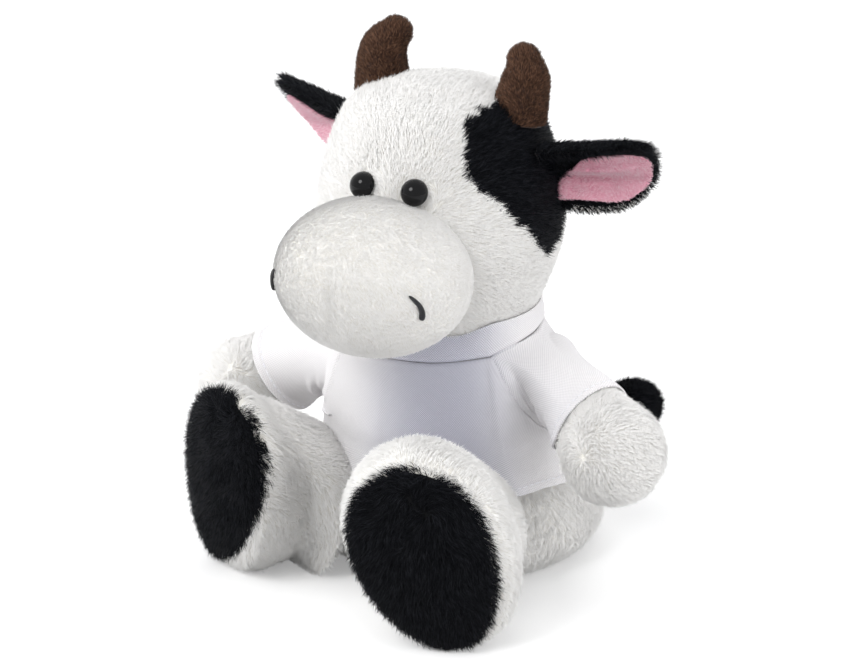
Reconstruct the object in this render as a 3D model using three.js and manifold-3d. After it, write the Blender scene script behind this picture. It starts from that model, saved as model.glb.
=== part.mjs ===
// A sitting plush cow in a short-sleeved shirt, in millimetres.
// +Z is up, the cow faces -Y, +X is its left side, and the origin is the middle of its seat on the ground.
// Every stuffed piece swells and tapers between its seams. Limbs, ears and tail end in a ball in a socket,
// which stands for the sewn seam that lets the real piece flop, and userData.hinge says how it swings.
import * as THREE from "three";
import { mergeVertices } from "three/addons/utils/BufferGeometryUtils.js";
import Module from "manifold-3d";

const wasm = await Module();
wasm.setup();

// Driving dimensions

const GAP = 0.35; // between pieces that touch
const SWING_GAP = 1.3; // round a limb that swings
const SKIN = 2.6; // plush fabric with its pile pressed flat
const FLAT = 0.5; // how far the weight flattens what stands on the ground

// Torso: a pear that leans forward towards the neck
const SEAT = { radius: 56, at: 17, flat: 44 };
const WAIST = { radius: 45.5, at: 44 };
const CHEST = { radius: 41, at: 66 };
const SHOULDERS = { radius: 38, at: 84 };
const NECK = { radius: 30, at: 95, lean: 12 };

// Head: round about the upright neck axis, and turned a little to the cow's left
const HEAD = { radius: 45.5, widestAt: 134, topAt: 186, turn: 6.5 };
const CHIN = { radius: 37, rise: 7 };
const CROWN = { radius: 34, drop: 13 };

// Muzzle: a short-pile pillow sewn to the front of the head
const MUZZLE = { width: 74, depth: 62, height: 57.5, forward: 49.5, up: 123.7 };
const NOSTRIL = { length: 9.5, thickness: 1.9, lean: 8, sag: 3, drop: 1.2 };
const NOSTRIL_TURN = { left: 48, right: 56 }; // from the middle of the muzzle

// Eyes: moulded beads on a shank, held by a washer behind the fabric
const EYE = { radius: 5, bulge: 4.6, spacing: 20.4, up: 154 };
const SHANK = { radius: 1.6, length: 9 };
const WASHER = { radius: 6, thickness: 1.4 };

// Horns: blunt cones, and where each is sewn, how far it bows outward, curls back in, and leans back
const HORN = { base: 10, shoulder: 7.8, tip: 5.5 };
const HORN_POSE = {
  left: { side: 30, back: 1, rise: 23, bulge: 3, curl: 2, lean: 5 },
  right: { side: 26.5, back: 6, rise: 21, bulge: 0.5, curl: 7, lean: 5 },
};

// Ears: a leaf folded along its length, tightly at its root, with a lining in the fold
const EAR = { length: 37, halfWidth: 18.5, root: 0.9, thickness: 3, ball: 7, set: 3.8 };
const EAR_FOLD = { root: 13, tip: 17 }; // the radius of the fold
// Where each ear is sewn, how far it points up and back, and how far its lining turns down from facing
// straight ahead
const EAR_POSE = {
  left: { up: 154, back: 3, lift: 5, sweep: 10, droop: 30 },
  right: { up: 158, back: 9, lift: 8, sweep: 18, droop: 56 },
};
const LINING = { length: 33, share: 0.82, aside: 0.2, thickness: 1.4, gap: 0.6 };

// Arms, and the shirt's sleeves round them
const SHOULDER = { side: 41.5, back: 0, up: 79 };
const ARM = { ball: 12.5, waist: 13, hand: 19, reach: 53, spread: 57.5, neck: 80, wrist: 115 };
const ARM_DROP = { left: 19.5, right: 29.5 };
// The cap is how far a sleeve reaches round the shoulder's ball, in degrees
const SLEEVE = { slack: 0.9, flare: 5, length: 33, cap: 125 };

// Legs: each ends in a big foot whose sole faces forward and outward
const HIP = { side: 25.5, front: 37, up: 24 };
const HIP_BALL = 22;
// How far each leg reaches and spreads, how far its sole leans inward, and how tall the weight leaves its foot
const LEG_POSE = {
  left: { reach: 62, spread: 22.5, lean: 28, height: 80 },
  right: { reach: 51, spread: 33, lean: 9, height: 76 },
};
const FOOT = { width: 58, depth: 36, crown: 4, pitch: 3, toeOut: 25, taper: 0.1 };
const SOLE = { rim: 5, thickness: 3.4, proud: 0.6 };

// Tail: a short rope that lies round the cow's left, with a tuft at its end
const TAIL = { ball: 6, radius: 4.6, up: 30, side: 38, back: 15, rise: 12 };
const TUFT = { radius: 9.5, length: 28 };

// Shirt
const CLOTH = 1.6;
const SLACK = 0.8; // the shirt lies this loosely on the torso
const HEM = { front: 32, back: 20 };
const COLLAR = { at: 84.5, height: 9.8 };
const FOLD = { count: 9, depth: 3, turn: 20 };

// Black patch on the head, as [degrees from straight ahead, height]
const PATCH_MIDDLE = [80, 156];
const PATCH_OUTLINE = [
  [40, 179], [38, 160], [50, 151], [68, 137], [84, 126],
  [100, 133], [116, 148], [124, 164], [106, 180], [72, 182.5],
];

// How far each seam lets its piece swing, in degrees
const SWING = { arm: [-8, 25], leg: [0, 12], ear: [-18, 18], tail: [-2, 60], neck: [-20, 20] };

const COLOURS = {
  white: { color: 0xf0efeb, roughness: 0.95 },
  velour: { color: 0xefeeea, roughness: 0.9 },
  black: { color: 0x14151a, roughness: 0.85 },
  brown: { color: 0x54372a, roughness: 0.9 },
  pink: { color: 0xe9a9b8, roughness: 0.9 },
  shirt: { color: 0xeeeef4, roughness: 0.8 },
  bead: { color: 0x0a0a0b, roughness: 0.12 },
  thread: { color: 0x101013, roughness: 0.7 },
  washer: { color: 0xe4e4e0, roughness: 0.5 },
  filling: { color: 0xf7f7f5, roughness: 1 },
};

const SIDES = [
  { name: "left", sign: 1 },
  { name: "right", sign: -1 },
];
const UP = new THREE.Vector3(0, 0, 1);
const FORWARD = new THREE.Vector3(0, -1, 0);
const OUT_OF_REACH = 400; // longer than the toy, for the blocks that cut it
const TINY = 0.01; // the radius at a pole
const FACETS = { body: 20, limb: 14, small: 10 }; // round a shape

// Small tools

const vec = (x, y, z) => new THREE.Vector3(x, y, z);
const rad = THREE.MathUtils.degToRad;
const lerp = THREE.MathUtils.lerp;

// Evenly spaced values from one end to the other.
function range(count, from = 0, to = 1) {
  return Array.from({ length: count + 1 }, (unused, i) => lerp(from, to, i / count));
}

// The closed solid of a geometry, whichever way its faces point.
function solid(geometry) {
  const bare = geometry.clone();
  bare.deleteAttribute("normal");
  bare.deleteAttribute("uv");
  const merged = mergeVertices(bare, 1e-4);
  const triVerts = new Uint32Array(merged.index.array);
  const vertProperties = new Float32Array(merged.attributes.position.array);
  const build = () => new wasm.Manifold(new wasm.Mesh({ numProp: 3, vertProperties, triVerts }));
  const made = build();
  if (made.volume() > 0) return made;
  for (let i = 0; i < triVerts.length; i += 3) {
    [triVerts[i + 1], triVerts[i + 2]] = [triVerts[i + 2], triVerts[i + 1]];
  }
  return build();
}

// A closed skin over rings of equally many points, each end closed by a fan round its middle.
function skinOver(rings) {
  const count = rings[0].length;
  const points = rings.flat();
  const middles = [rings[0], rings.at(-1)].map((ring) => {
    const sum = ring.reduce((total, p) => total.add(p), vec(0, 0, 0));
    return points.push(sum.divideScalar(count)) - 1;
  });
  const faces = [];
  const end = (rings.length - 1) * count;
  for (let i = 0; i < count; i++) {
    const next = (i + 1) % count;
    faces.push(middles[0], next, i, middles[1], end + i, end + next);
    for (let row = 0; row < end; row += count) {
      faces.push(row + i, row + next, row + count + i, row + next, row + count + next, row + count + i);
    }
  }
  const geometry = new THREE.BufferGeometry().setFromPoints(points);
  geometry.setIndex(faces);
  return geometry;
}

// An ellipse of points round a centre, from its half axes.
// A taper narrows it towards minus the second axis.
function ring(centre, across, along, count, taper = 0) {
  return range(count).slice(0, count).map((share) => {
    const [x, y] = [Math.cos(2 * Math.PI * share), Math.sin(2 * Math.PI * share)];
    return centre.clone().addScaledVector(across, x * (1 + taper * y)).addScaledVector(along, y);
  });
}

// A smooth outline of [radius, distance] points, moved outward by grow.
function smooth(corners, count, grow) {
  const corner = corners.map(([x, y]) => new THREE.Vector2(x, y));
  const points = new THREE.SplineCurve(corner).getPoints(count);
  return points.map((p, i) => {
    const run = points[Math.min(i + 1, count)].clone().sub(points[Math.max(i - 1, 0)]).normalize();
    return [Math.max(p.x + grow * run.y, TINY), p.y - grow * run.x];
  });
}

// The radius of an outline at a distance along it.
function radiusAt(outline, distance) {
  const i = Math.max(1, outline.findIndex(([, y]) => y >= distance));
  const [low, high] = [outline[i - 1], outline[i]];
  return lerp(low[0], high[0], (distance - low[1]) / (high[1] - low[1]));
}

// An outline of [radius, distance] points turned about a line through a point.
function turnedShape(outline, { pivot, out }, count) {
  const points = outline.map(([x, y]) => new THREE.Vector2(x, y));
  const shape = new THREE.LatheGeometry(points, count).rotateX(Math.PI / 2);
  shape.applyQuaternion(new THREE.Quaternion().setFromUnitVectors(UP, out));
  return shape.translate(pivot.x, pivot.y, pivot.z);
}

// The points of a ball's outline between two angles from its axis, in degrees.
const arc = (radius, from, to, count) => range(count, rad(from), rad(to)).map((turn) => [
  Math.abs(Math.sin(turn)) < 1e-9 ? 0 : radius * Math.sin(turn),
  radius * Math.cos(turn),
]);

function ballShape({ pivot, out }, radius) {
  return turnedShape(arc(radius, 180, 0, 8), { pivot, out }, FACETS.limb);
}

// A ball's socket, which opens outward so that the limb on the ball can swing between two angles.
// The limb is given by its widest [radius, distance] points. The facets stay outside the true round shape.
function swingRoom({ pivot, out, axis }, ball, limb, [from, to]) {
  const half = rad((to - from) / 2);
  const steps = 4;
  const socket = (ball + GAP) / (Math.cos(Math.PI / FACETS.limb) * Math.cos(Math.PI / 4 / steps));
  const opened = limb.map(([radius, distance]) => {
    const wide = (radius + SWING_GAP) / Math.cos(Math.PI / FACETS.limb);
    return [
      wide * Math.cos(half) + distance * Math.sin(half),
      distance * Math.cos(half) - wide * Math.sin(half),
    ];
  });
  const lowest = Math.min(0, ...opened.map(([, y]) => y));
  const inner = arc(socket, 180, 90, steps).filter(([, y]) => y < lowest);
  const outline = [...inner, ...opened, [0, opened.at(-1)[1]]];
  const middle = out.clone().applyAxisAngle(axis, rad((from + to) / 2));
  return solid(turnedShape(outline, { pivot, out: middle }, FACETS.limb));
}

// Everything beyond a plane through a point, on the side that the direction points to.
function beyond(point, direction) {
  const block = new THREE.BoxGeometry(OUT_OF_REACH, OUT_OF_REACH, OUT_OF_REACH);
  block.translate(0, 0, OUT_OF_REACH / 2);
  block.applyQuaternion(new THREE.Quaternion().setFromUnitVectors(UP, direction));
  return solid(block.translate(point.x, point.y, point.z));
}

const DOWN = UP.clone().negate();
const underground = beyond(vec(0, 0, 0), DOWN);
const without = (from, ...cutters) => cutters.reduce((left, cutter) => left.subtract(cutter), from);

// Torso

function torsoMiddle(height) {
  return vec(0, -NECK.lean * THREE.MathUtils.smoothstep(height, 0, SHOULDERS.at), height);
}

const torsoOutline = (grow = 0) => smooth([
  [SEAT.flat, -FLAT], [0.94 * SEAT.radius, SEAT.at / 3], [SEAT.radius, SEAT.at], [WAIST.radius, WAIST.at],
  [CHEST.radius, CHEST.at], [SHOULDERS.radius, SHOULDERS.at], [NECK.radius, NECK.at],
], 12, grow);

function torsoShape(grow) {
  return skinOver(torsoOutline(grow).map(([radius, height]) => (
    ring(torsoMiddle(height), vec(radius, 0, 0), vec(0, radius, 0), FACETS.body)
  )));
}

// Head, in a frame whose Z is the neck axis

const headOutline = (grow = 0) => smooth([
  [NECK.radius, NECK.at + GAP], [CHIN.radius, NECK.at + CHIN.rise], [HEAD.radius, HEAD.widestAt],
  [CROWN.radius, HEAD.topAt - CROWN.drop], [CROWN.radius / 2, HEAD.topAt - CROWN.drop / 5],
  [TINY, HEAD.topAt],
], 12, grow);

const headShape = (grow) => skinOver(headOutline(grow).map(([radius, height]) => (
  ring(vec(0, 0, height), vec(radius, 0, 0), vec(0, radius, 0), FACETS.body)
)));

const neckFrame = { pivot: vec(0, 0, 0), out: UP };

// The point on the head at a height and at some degrees to the left of straight ahead.
function onHead(height, degrees) {
  const direction = FORWARD.clone().applyAxisAngle(UP, rad(degrees));
  return direction.multiplyScalar(radiusAt(headOutline(), height)).setZ(height);
}

// A wedge out of the neck axis through the patch's outline.
function patchWedge(grow) {
  const [middleTurn, middleHeight] = PATCH_MIDDLE;
  const rings = [0.3 * HEAD.radius, 2 * HEAD.radius].map((radius) => PATCH_OUTLINE.map(([turn, height]) => {
    const aside = rad(turn - middleTurn) * HEAD.radius;
    const reach = 1 + grow / Math.hypot(aside, height - middleHeight);
    const direction = FORWARD.clone().applyAxisAngle(UP, rad(lerp(middleTurn, turn, reach)));
    return direction.multiplyScalar(radius).setZ(lerp(middleHeight, height, reach));
  }));
  return solid(skinOver(rings));
}

function muzzleShape() {
  const pillow = new THREE.SphereGeometry(1, FACETS.body, 12).rotateX(Math.PI / 2);
  pillow.scale(MUZZLE.width / 2, MUZZLE.depth / 2, MUZZLE.height / 2);
  return pillow.translate(0, -MUZZLE.forward, MUZZLE.up);
}

// A stitched nostril: a bar that lies in the muzzle's surface and sags in its middle.
function nostrilShape({ name, sign }, thickness) {
  const points = range(4, -1, 1).map((along) => {
    const sag = NOSTRIL.sag * (1 - along ** 2);
    const turn = rad(sign * (NOSTRIL_TURN[name] + (NOSTRIL.lean * along) / 2 + sag));
    const rise = -NOSTRIL.drop - (along * NOSTRIL.length) / 2;
    const round = Math.sqrt(1 - (rise / (MUZZLE.height / 2)) ** 2);
    return vec(
      (MUZZLE.width / 2) * round * Math.sin(turn),
      -MUZZLE.forward - (MUZZLE.depth / 2) * round * Math.cos(turn),
      MUZZLE.up + rise,
    );
  });
  const bar = new THREE.Shape().absarc(0, 0, thickness / 2, 0, 2 * Math.PI);
  const extrudePath = new THREE.CatmullRomCurve3(points);
  return new THREE.ExtrudeGeometry(bar, { steps: 6, curveSegments: 3, bevelEnabled: false, extrudePath });
}

// Eyes look straight out of the head, and their outlines are measured from the fabric's surface.

function eyeFrame(sign) {
  const turn = Math.asin(EYE.spacing / 2 / radiusAt(headOutline(), EYE.up));
  const pivot = onHead(EYE.up, sign * THREE.MathUtils.radToDeg(turn));
  return { pivot, out: pivot.clone().sub(vec(0, 0, HEAD.widestAt)).normalize() };
}

function eyeShape(frame, grow = 0) {
  const dome = arc(1, 0, 90, 5).map(([x, y]) => [
    (EYE.radius + grow) * x,
    GAP - grow + (EYE.bulge + 2 * grow) * y,
  ]);
  const [radius, end] = [SHANK.radius + grow, -SHANK.length - grow];
  return turnedShape([...dome, [radius, GAP - grow], [radius, end], [0, end]], frame, FACETS.small);
}

function washerShape(frame) {
  const near = -SKIN - GAP;
  const far = near - WASHER.thickness;
  const bore = SHANK.radius + GAP;
  const profile = [[bore, far], [WASHER.radius, far], [WASHER.radius, near], [bore, near], [bore, far]];
  return turnedShape(profile, frame, FACETS.small);
}

// The pocket round a washer and the shank that ends in it.
function washerRoom(frame) {
  const [near, far] = [-SKIN, -SKIN - WASHER.thickness - 2 * GAP];
  const [wide, narrow, end] = [WASHER.radius + GAP, SHANK.radius + GAP, -SHANK.length - GAP];
  const profile = [[0, near], [wide, near], [wide, far], [narrow, far], [narrow, end], [0, end]];
  return turnedShape(profile, frame, FACETS.small);
}

// A horn: a blunt cone that bows outward, then curls back in over the head.
function hornShape({ name, sign }) {
  const { side, back, rise, bulge, curl, lean } = HORN_POSE[name];
  const foot = vec(sign * side, back, 0);
  foot.z = HEAD.topAt;
  while (radiusAt(headOutline(), foot.z) < Math.hypot(foot.x, foot.y)) foot.z -= 1;
  const path = new THREE.CatmullRomCurve3([
    foot.clone().add(vec(0, 0, -HORN.base / 2)),
    foot.clone().add(vec(sign * bulge, lean / 3, rise / 2)),
    foot.clone().add(vec(-sign * curl, lean, rise)),
  ]);
  const blunt = HORN.tip / path.getLength();
  return skinOver([0, 0.2, 0.4, 0.6, 1 - blunt, 1 - blunt / 2, 1 - blunt / 8, 1].map((share) => {
    const straight = share < 0.6
      ? lerp(HORN.base, HORN.shoulder, share / 0.6)
      : lerp(HORN.shoulder, HORN.tip, (share - 0.6) / (0.4 - blunt));
    const end = Math.max(0, (share - 1 + blunt) / blunt);
    const radius = Math.max(TINY, (end ? HORN.tip : straight) * Math.sqrt(1 - end ** 2));
    const forward = path.getTangentAt(share);
    const across = new THREE.Vector3().crossVectors(forward, FORWARD).normalize();
    const along = new THREE.Vector3().crossVectors(forward, across);
    across.multiplyScalar(radius);
    along.multiplyScalar(radius);
    return ring(path.getPointAt(share), across, along, FACETS.small);
  }));
}

// Ears

function earFrame({ sign, name }) {
  const { up, back, ...pose } = EAR_POSE[name];
  const [lift, sweep, droop] = [rad(pose.lift), rad(pose.sweep), rad(pose.droop)];
  const level = Math.cos(lift);
  const out = vec(sign * Math.cos(sweep) * level, Math.sin(sweep) * level, Math.sin(lift));
  const face = FORWARD.clone().applyAxisAngle(UP, sign * sweep).applyAxisAngle(out, sign * droop);
  const axis = new THREE.Vector3().crossVectors(face, out).normalize();
  const aside = Math.sqrt(radiusAt(headOutline(), up) ** 2 - back ** 2) - EAR.ball / 3;
  const pivot = vec(sign * aside, back, up);
  return { pivot, out, face, axis, lower: -Math.sign(axis.z) };
}

// Half the width of an ear's leaf at a share of its length: narrow at the root, full, then rounded off.
function leafHalf(along) {
  const full = lerp(EAR.root, 1, Math.sin(Math.min(1, along / 0.55) * Math.PI / 2));
  const end = Math.max(0, (along - 0.5) / 0.5) ** 2.2;
  return EAR.halfWidth * full * Math.sqrt(Math.max(TINY / 4, 1 - end));
}

// A leaf whose two edges bend forward about a line over its middle, from its front back by a thickness.
// Its root may lie aside, towards its lower edge.
function leafShape({ pivot, out, face, axis, lower }, leaf) {
  const { start, length, share, front, thickness, aside = 0 } = leaf;
  return skinOver(range(7).map((along) => {
    const bend = lerp(EAR_FOLD.root, EAR_FOLD.tip, along);
    const edge = leafHalf(along) / bend;
    const shift = lower * aside * (1 - along);
    const centre = pivot.clone()
      .addScaledVector(out, start + length * along)
      .addScaledVector(face, bend - EAR.set);
    const at = (across, depth) => centre.clone()
      .addScaledVector(axis, (bend - front + depth) * Math.sin((share * across + shift) * edge))
      .addScaledVector(face, -(bend - front + depth) * Math.cos((share * across + shift) * edge));
    const inside = range(8, -1, 1).map((across) => at(across, 0));
    return [...inside, ...range(8, 1, -1).map((across) => at(across, thickness))];
  }));
}

// Arms

function armFrame({ sign, name }) {
  const [spread, drop] = [rad(ARM.spread), rad(ARM_DROP[name])];
  const level = Math.cos(drop);
  const out = vec(sign * Math.sin(spread) * level, -Math.cos(spread) * level, -Math.sin(drop));
  const axis = new THREE.Vector3().crossVectors(out, UP).normalize();
  return { pivot: vec(sign * SHOULDER.side, SHOULDER.back, SHOULDER.up), out, axis };
}

// From the ball at the shoulder, along the arm, and round the hand.
const armOutline = (grow = 0) => [
  ...arc(ARM.ball + grow, 180, ARM.neck, 4),
  [ARM.waist + grow, 0.3 * ARM.reach],
  [lerp(ARM.waist, ARM.hand, 0.4) + grow, 0.55 * ARM.reach],
  ...arc(ARM.hand + grow, ARM.wrist, 0, 5).map(([x, y]) => [x, y + ARM.reach]),
];

// The sleeve's outside, from its cap round the shoulder's ball to its hem.
const sleeveRoot = Math.max(ARM.ball, ARM.waist) + SLEEVE.slack + CLOTH;
const sleeveOutline = (shrink = 0) => [
  ...arc(sleeveRoot - shrink, SLEEVE.cap, 90, 2),
  ...range(3).slice(1).map((share) => [
    sleeveRoot - shrink + SLEEVE.flare * share ** 1.5,
    SLEEVE.length * share,
  ]),
];

function sleeveShape(frame) {
  const outside = sleeveOutline();
  return turnedShape([...outside, ...sleeveOutline(CLOTH).reverse(), outside[0]], frame, FACETS.limb);
}

// Legs

function half(direction, size, share = 1, grow = 0) {
  return direction.clone().multiplyScalar((size / 2) * share + grow);
}

function legFrame({ sign, name }) {
  const toe = rad(sign * FOOT.toeOut);
  const pose = LEG_POSE[name];
  const [spread, lean] = [rad(sign * pose.spread), rad(-sign * pose.lean)];
  const wide = vec(1, 0, 0).applyAxisAngle(UP, toe);
  const sole = FORWARD.clone().applyAxisAngle(UP, toe).applyAxisAngle(wide, rad(FOOT.pitch));
  const tall = new THREE.Vector3().crossVectors(wide, sole).normalize();
  if (tall.z < 0) tall.negate();
  wide.applyAxisAngle(sole, -lean);
  tall.applyAxisAngle(sole, -lean);
  const level = vec(0, 0, 0);
  const rim = ring(level, half(wide, FOOT.width), half(tall, pose.height), FACETS.limb, FOOT.taper);
  const centre = vec(0, 0, -FLAT - Math.min(...rim.map((point) => point.z)));
  const pivot = vec(sign * HIP.side, -HIP.front, HIP.up);
  const run = Math.sqrt(pose.reach ** 2 - (centre.z - HIP.up) ** 2);
  centre.add(FORWARD.clone().applyAxisAngle(UP, spread).multiplyScalar(run));
  centre.add(vec(pivot.x, pivot.y, 0));
  const out = centre.clone().sub(pivot).normalize();
  return { pivot, out, sole, wide, tall, centre, height: pose.height, axis: vec(-1, 0, 0) };
}

// From the crowned sole back over the foot, in to the leg, and round the ball at the hip.
function legShape({ pivot, out, sole, wide, tall, centre, height }) {
  const foot = [
    [-FOOT.crown, TINY], [-0.86 * FOOT.crown, 0.4], [-0.5 * FOOT.crown, 0.7], [0, 0.91],
    [0.09 * FOOT.depth, 0.98], [0.25 * FOOT.depth, 1], [0.5 * FOOT.depth, 0.97], [0.78 * FOOT.depth, 0.84],
  ].map(([behind, share]) => ring(
    centre.clone().addScaledVector(sole, -behind),
    half(wide, FOOT.width, share),
    half(tall, height, share),
    FACETS.limb,
    FOOT.taper,
  ));
  const across = wide.clone().addScaledVector(out, -wide.dot(out)).normalize();
  const along = new THREE.Vector3().crossVectors(across, out);
  if (along.dot(tall) < 0) along.negate();
  const thigh = [1.22 * HIP_BALL, 0.8 * HIP_BALL];
  const hip = [thigh, ...arc(HIP_BALL, 75, 180, 5)].map(([radius, distance]) => ring(
    pivot.clone().addScaledVector(out, distance),
    across.clone().multiplyScalar(Math.max(radius, TINY)),
    along.clone().multiplyScalar(Math.max(radius, TINY)),
    FACETS.limb,
  ));
  return skinOver([...foot, ...hip]);
}

// The bulging outline round a limb that holds all of its shape, as [radius, distance] from its pivot.
function hullOf(geometry, { pivot, out }) {
  const points = geometry.attributes.position;
  const polar = Array.from({ length: points.count }, (unused, i) => {
    const away = new THREE.Vector3().fromBufferAttribute(points, i).sub(pivot);
    const distance = away.dot(out);
    return [Math.sqrt(Math.max(0, away.lengthSq() - distance ** 2)), distance];
  });
  const sorted = polar.filter(([, distance]) => distance >= 0).sort((p, q) => p[1] - q[1]);
  return sorted.reduce((outline, [x, y]) => {
    const bulges = ([x1, y1], [x2, y2]) => (x2 - x1) * (y - y1) > (x - x1) * (y2 - y1);
    while (outline.length > 1 && !bulges(...outline.slice(-2))) outline.pop();
    return [...outline, [x, y]];
  }, []);
}

// The pad on the sole: a crowned disc let into the foot.
function soleShape({ sole, wide, tall, centre, height }, grow = 0) {
  const crown = FOOT.crown + SOLE.proud;
  const rows = [
    [-crown, TINY], [-0.88 * crown, 0.4], [-0.6 * crown, 0.72], [-0.3 * crown, 0.9],
    [0, 1], [SOLE.thickness, 1],
  ];
  return skinOver(rows.map(([behind, share], i) => ring(
    centre.clone().addScaledVector(sole, -behind + (i < rows.length - 1 ? grow : -grow)),
    half(wide, FOOT.width - 2 * SOLE.rim, share, grow),
    half(tall, height - 2 * SOLE.rim, share, grow),
    FACETS.limb,
    FOOT.taper,
  )));
}

// Tail

const tailRoot = torsoMiddle(TAIL.up).add(vec(0, radiusAt(torsoOutline(), TAIL.up) - TAIL.ball / 3, 0));
const tailPath = new THREE.CatmullRomCurve3([
  tailRoot,
  tailRoot.clone().add(vec(0.25 * TAIL.side, 0.8 * TAIL.back, 0)),
  tailRoot.clone().add(vec(0.65 * TAIL.side, 1.1 * TAIL.back, 0.35 * TAIL.rise)),
  tailRoot.clone().add(vec(TAIL.side, 0.8 * TAIL.back, TAIL.rise)),
]);
const tailFrame = { pivot: tailRoot, out: tailPath.getTangentAt(0.12), axis: UP };

const tailShape = () => skinOver(range(8).map((share) => {
  const forward = tailPath.getTangentAt(share);
  const across = new THREE.Vector3().crossVectors(forward, UP).setLength(TAIL.radius);
  const along = new THREE.Vector3().crossVectors(forward, across).setLength(TAIL.radius);
  return ring(tailPath.getPointAt(share), across, along, FACETS.small);
}));

function tuftShape(grow = 0) {
  const forward = tailPath.getTangentAt(1);
  const pivot = tailPath.getPointAt(1).addScaledVector(forward, 0.3 * TUFT.length);
  const outline = arc(1, 180, 0, 7).map(([x, y]) => [
    (TUFT.radius + grow) * x,
    (TUFT.length / 2 + grow) * y,
  ]);
  return turnedShape(outline, { pivot, out: forward }, FACETS.small);
}

// Shirt: it lies on the torso, and its folds deepen towards the hem

function shirtShape(grow) {
  const outline = torsoOutline();
  const over = grow ? 0 : 1; // how far the inside's cutter passes the cloth's ends
  const count = 4 * FOLD.count;
  return skinOver(range(7).map((rise) => {
    const hang = (1 - rise) ** 1.5;
    return range(count).slice(0, count).map((share) => {
      const hem = lerp(HEM.front, HEM.back, (1 + Math.sin(2 * Math.PI * share)) / 2);
      const height = lerp(hem - over, COLLAR.at + over, rise);
      const fold = (1 + Math.cos(FOLD.count * 2 * Math.PI * share + rad(FOLD.turn))) / 2;
      const radius = radiusAt(outline, height) + SLACK + grow + FOLD.depth * hang * fold;
      return torsoMiddle(height).add(vec(radius, 0, 0).applyAxisAngle(UP, 2 * Math.PI * share));
    });
  }));
}

// The neck band lies on the slope between the shoulders and the neck, a hair clear of the turning head.
function collarShape() {
  const outline = torsoOutline(GAP);
  const heights = range(3, COLLAR.at + GAP, COLLAR.at + COLLAR.height);
  const inside = heights.map((height) => [radiusAt(outline, height), height]);
  const outside = inside.map(([x, y]) => [x + CLOTH, y]);
  return turnedShape([...outside, ...inside.reverse(), outside[0]], neckFrame, FACETS.body);
}

// Putting it together

const toy = new THREE.Group();
const head = new THREE.Group();
head.position.set(0, -NECK.lean, 0);
head.rotation.z = rad(HEAD.turn);
toy.add(head);

// Adds the largest piece of a solid to a group, with the hinge that its seam makes.
function add(group, name, made, colour, hinge) {
  const mesh = made.decompose().reduce((a, b) => (a.volume() > b.volume() ? a : b)).getMesh();
  const geometry = new THREE.BufferGeometry();
  geometry.setAttribute("position", new THREE.BufferAttribute(new Float32Array(mesh.vertProperties), 3));
  geometry.setIndex(new THREE.BufferAttribute(new Uint32Array(mesh.triVerts), 1));
  const piece = new THREE.Mesh(geometry, new THREE.MeshStandardMaterial(COLOURS[colour]));
  piece.name = name;
  if (hinge) piece.userData.hinge = hinge;
  group.add(piece);
}

const hingeOf = ({ pivot, axis }, swing) => ({ pivot, axis, swing });

const { length, thickness } = EAR;
const EAR_LEAF = { start: 0.6 * EAR.ball, length, share: 1, front: 0, thickness };
const armHull = [...sleeveOutline().filter(([, distance]) => distance > 0), [ARM.hand, ARM.reach]];
const limbs = SIDES.map((side) => {
  const [arm, leg, ear] = [armFrame(side), legFrame(side), earFrame(side)];
  const leaf = leafShape(ear, EAR_LEAF);
  return {
    ...side,
    arm,
    leg,
    ear,
    armRoom: swingRoom(arm, sleeveRoot, armHull, SWING.arm),
    legRoom: swingRoom(leg, HIP_BALL, hullOf(legShape(leg), leg), SWING.leg),
    earRoom: swingRoom(ear, EAR.ball, hullOf(leaf, ear), SWING.ear),
  };
});
const tailHull = [[TAIL.ball, 0], [TAIL.radius, TAIL.side]];
const tailRoom = swingRoom(tailFrame, TAIL.ball, tailHull, SWING.tail);
const limbRoom = [...limbs.flatMap((limb) => [limb.armRoom, limb.legRoom]), tailRoom];

// The hollow of a skin, which stays open at the neck.
function hollow(shape, lean) {
  const radius = NECK.radius - SKIN;
  const [low, high] = [NECK.at - 2 * SKIN, NECK.at + 2 * SKIN];
  const profile = [[0, low], [radius, low], [radius, high], [0, high]];
  const opening = turnedShape(profile, { pivot: vec(0, -lean, 0), out: UP }, FACETS.body);
  return solid(shape(-SKIN)).add(solid(opening));
}

const torsoSkin = without(solid(torsoShape(0)), hollow(torsoShape, NECK.lean), underground, ...limbRoom);
add(toy, "torso_skin", torsoSkin, "white");
add(toy, "torso_filling", without(solid(torsoShape(-SKIN - GAP)), ...limbRoom), "filling");

const seamPlane = vec(0, -NECK.lean / 2, 0);
const shirt = without(solid(shirtShape(CLOTH)), solid(shirtShape(0)), ...limbRoom);
const frontPlane = seamPlane.clone().addScaledVector(FORWARD, GAP);
add(toy, "shirt_front", shirt.subtract(beyond(frontPlane, FORWARD.clone().negate())), "shirt");
add(toy, "shirt_back", shirt.subtract(beyond(seamPlane, FORWARD)), "shirt");
const collar = solid(collarShape().translate(0, -NECK.lean, 0));
add(toy, "shirt_collar", without(collar, ...limbs.map((limb) => limb.armRoom)), "shirt");

const eyes = SIDES.map(({ name, sign }) => ({ name, sign, frame: eyeFrame(sign) }));
const eyeRoom = eyes.flatMap(({ frame }) => [solid(eyeShape(frame, GAP)), solid(washerRoom(frame))]);
const earRoom = limbs.map((limb) => limb.earRoom);
const headSkin = without(solid(headShape(0)), hollow(headShape, 0), ...eyeRoom, ...earRoom);
const neck = { pivot: vec(0, 0, NECK.at), axis: UP };
add(head, "head_skin", headSkin.subtract(patchWedge(GAP)), "white", hingeOf(neck, SWING.neck));
add(head, "head_patch", headSkin.intersect(patchWedge(0)), "black");
add(head, "head_filling", without(solid(headShape(-SKIN - GAP)), ...eyeRoom, ...earRoom), "filling");

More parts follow.
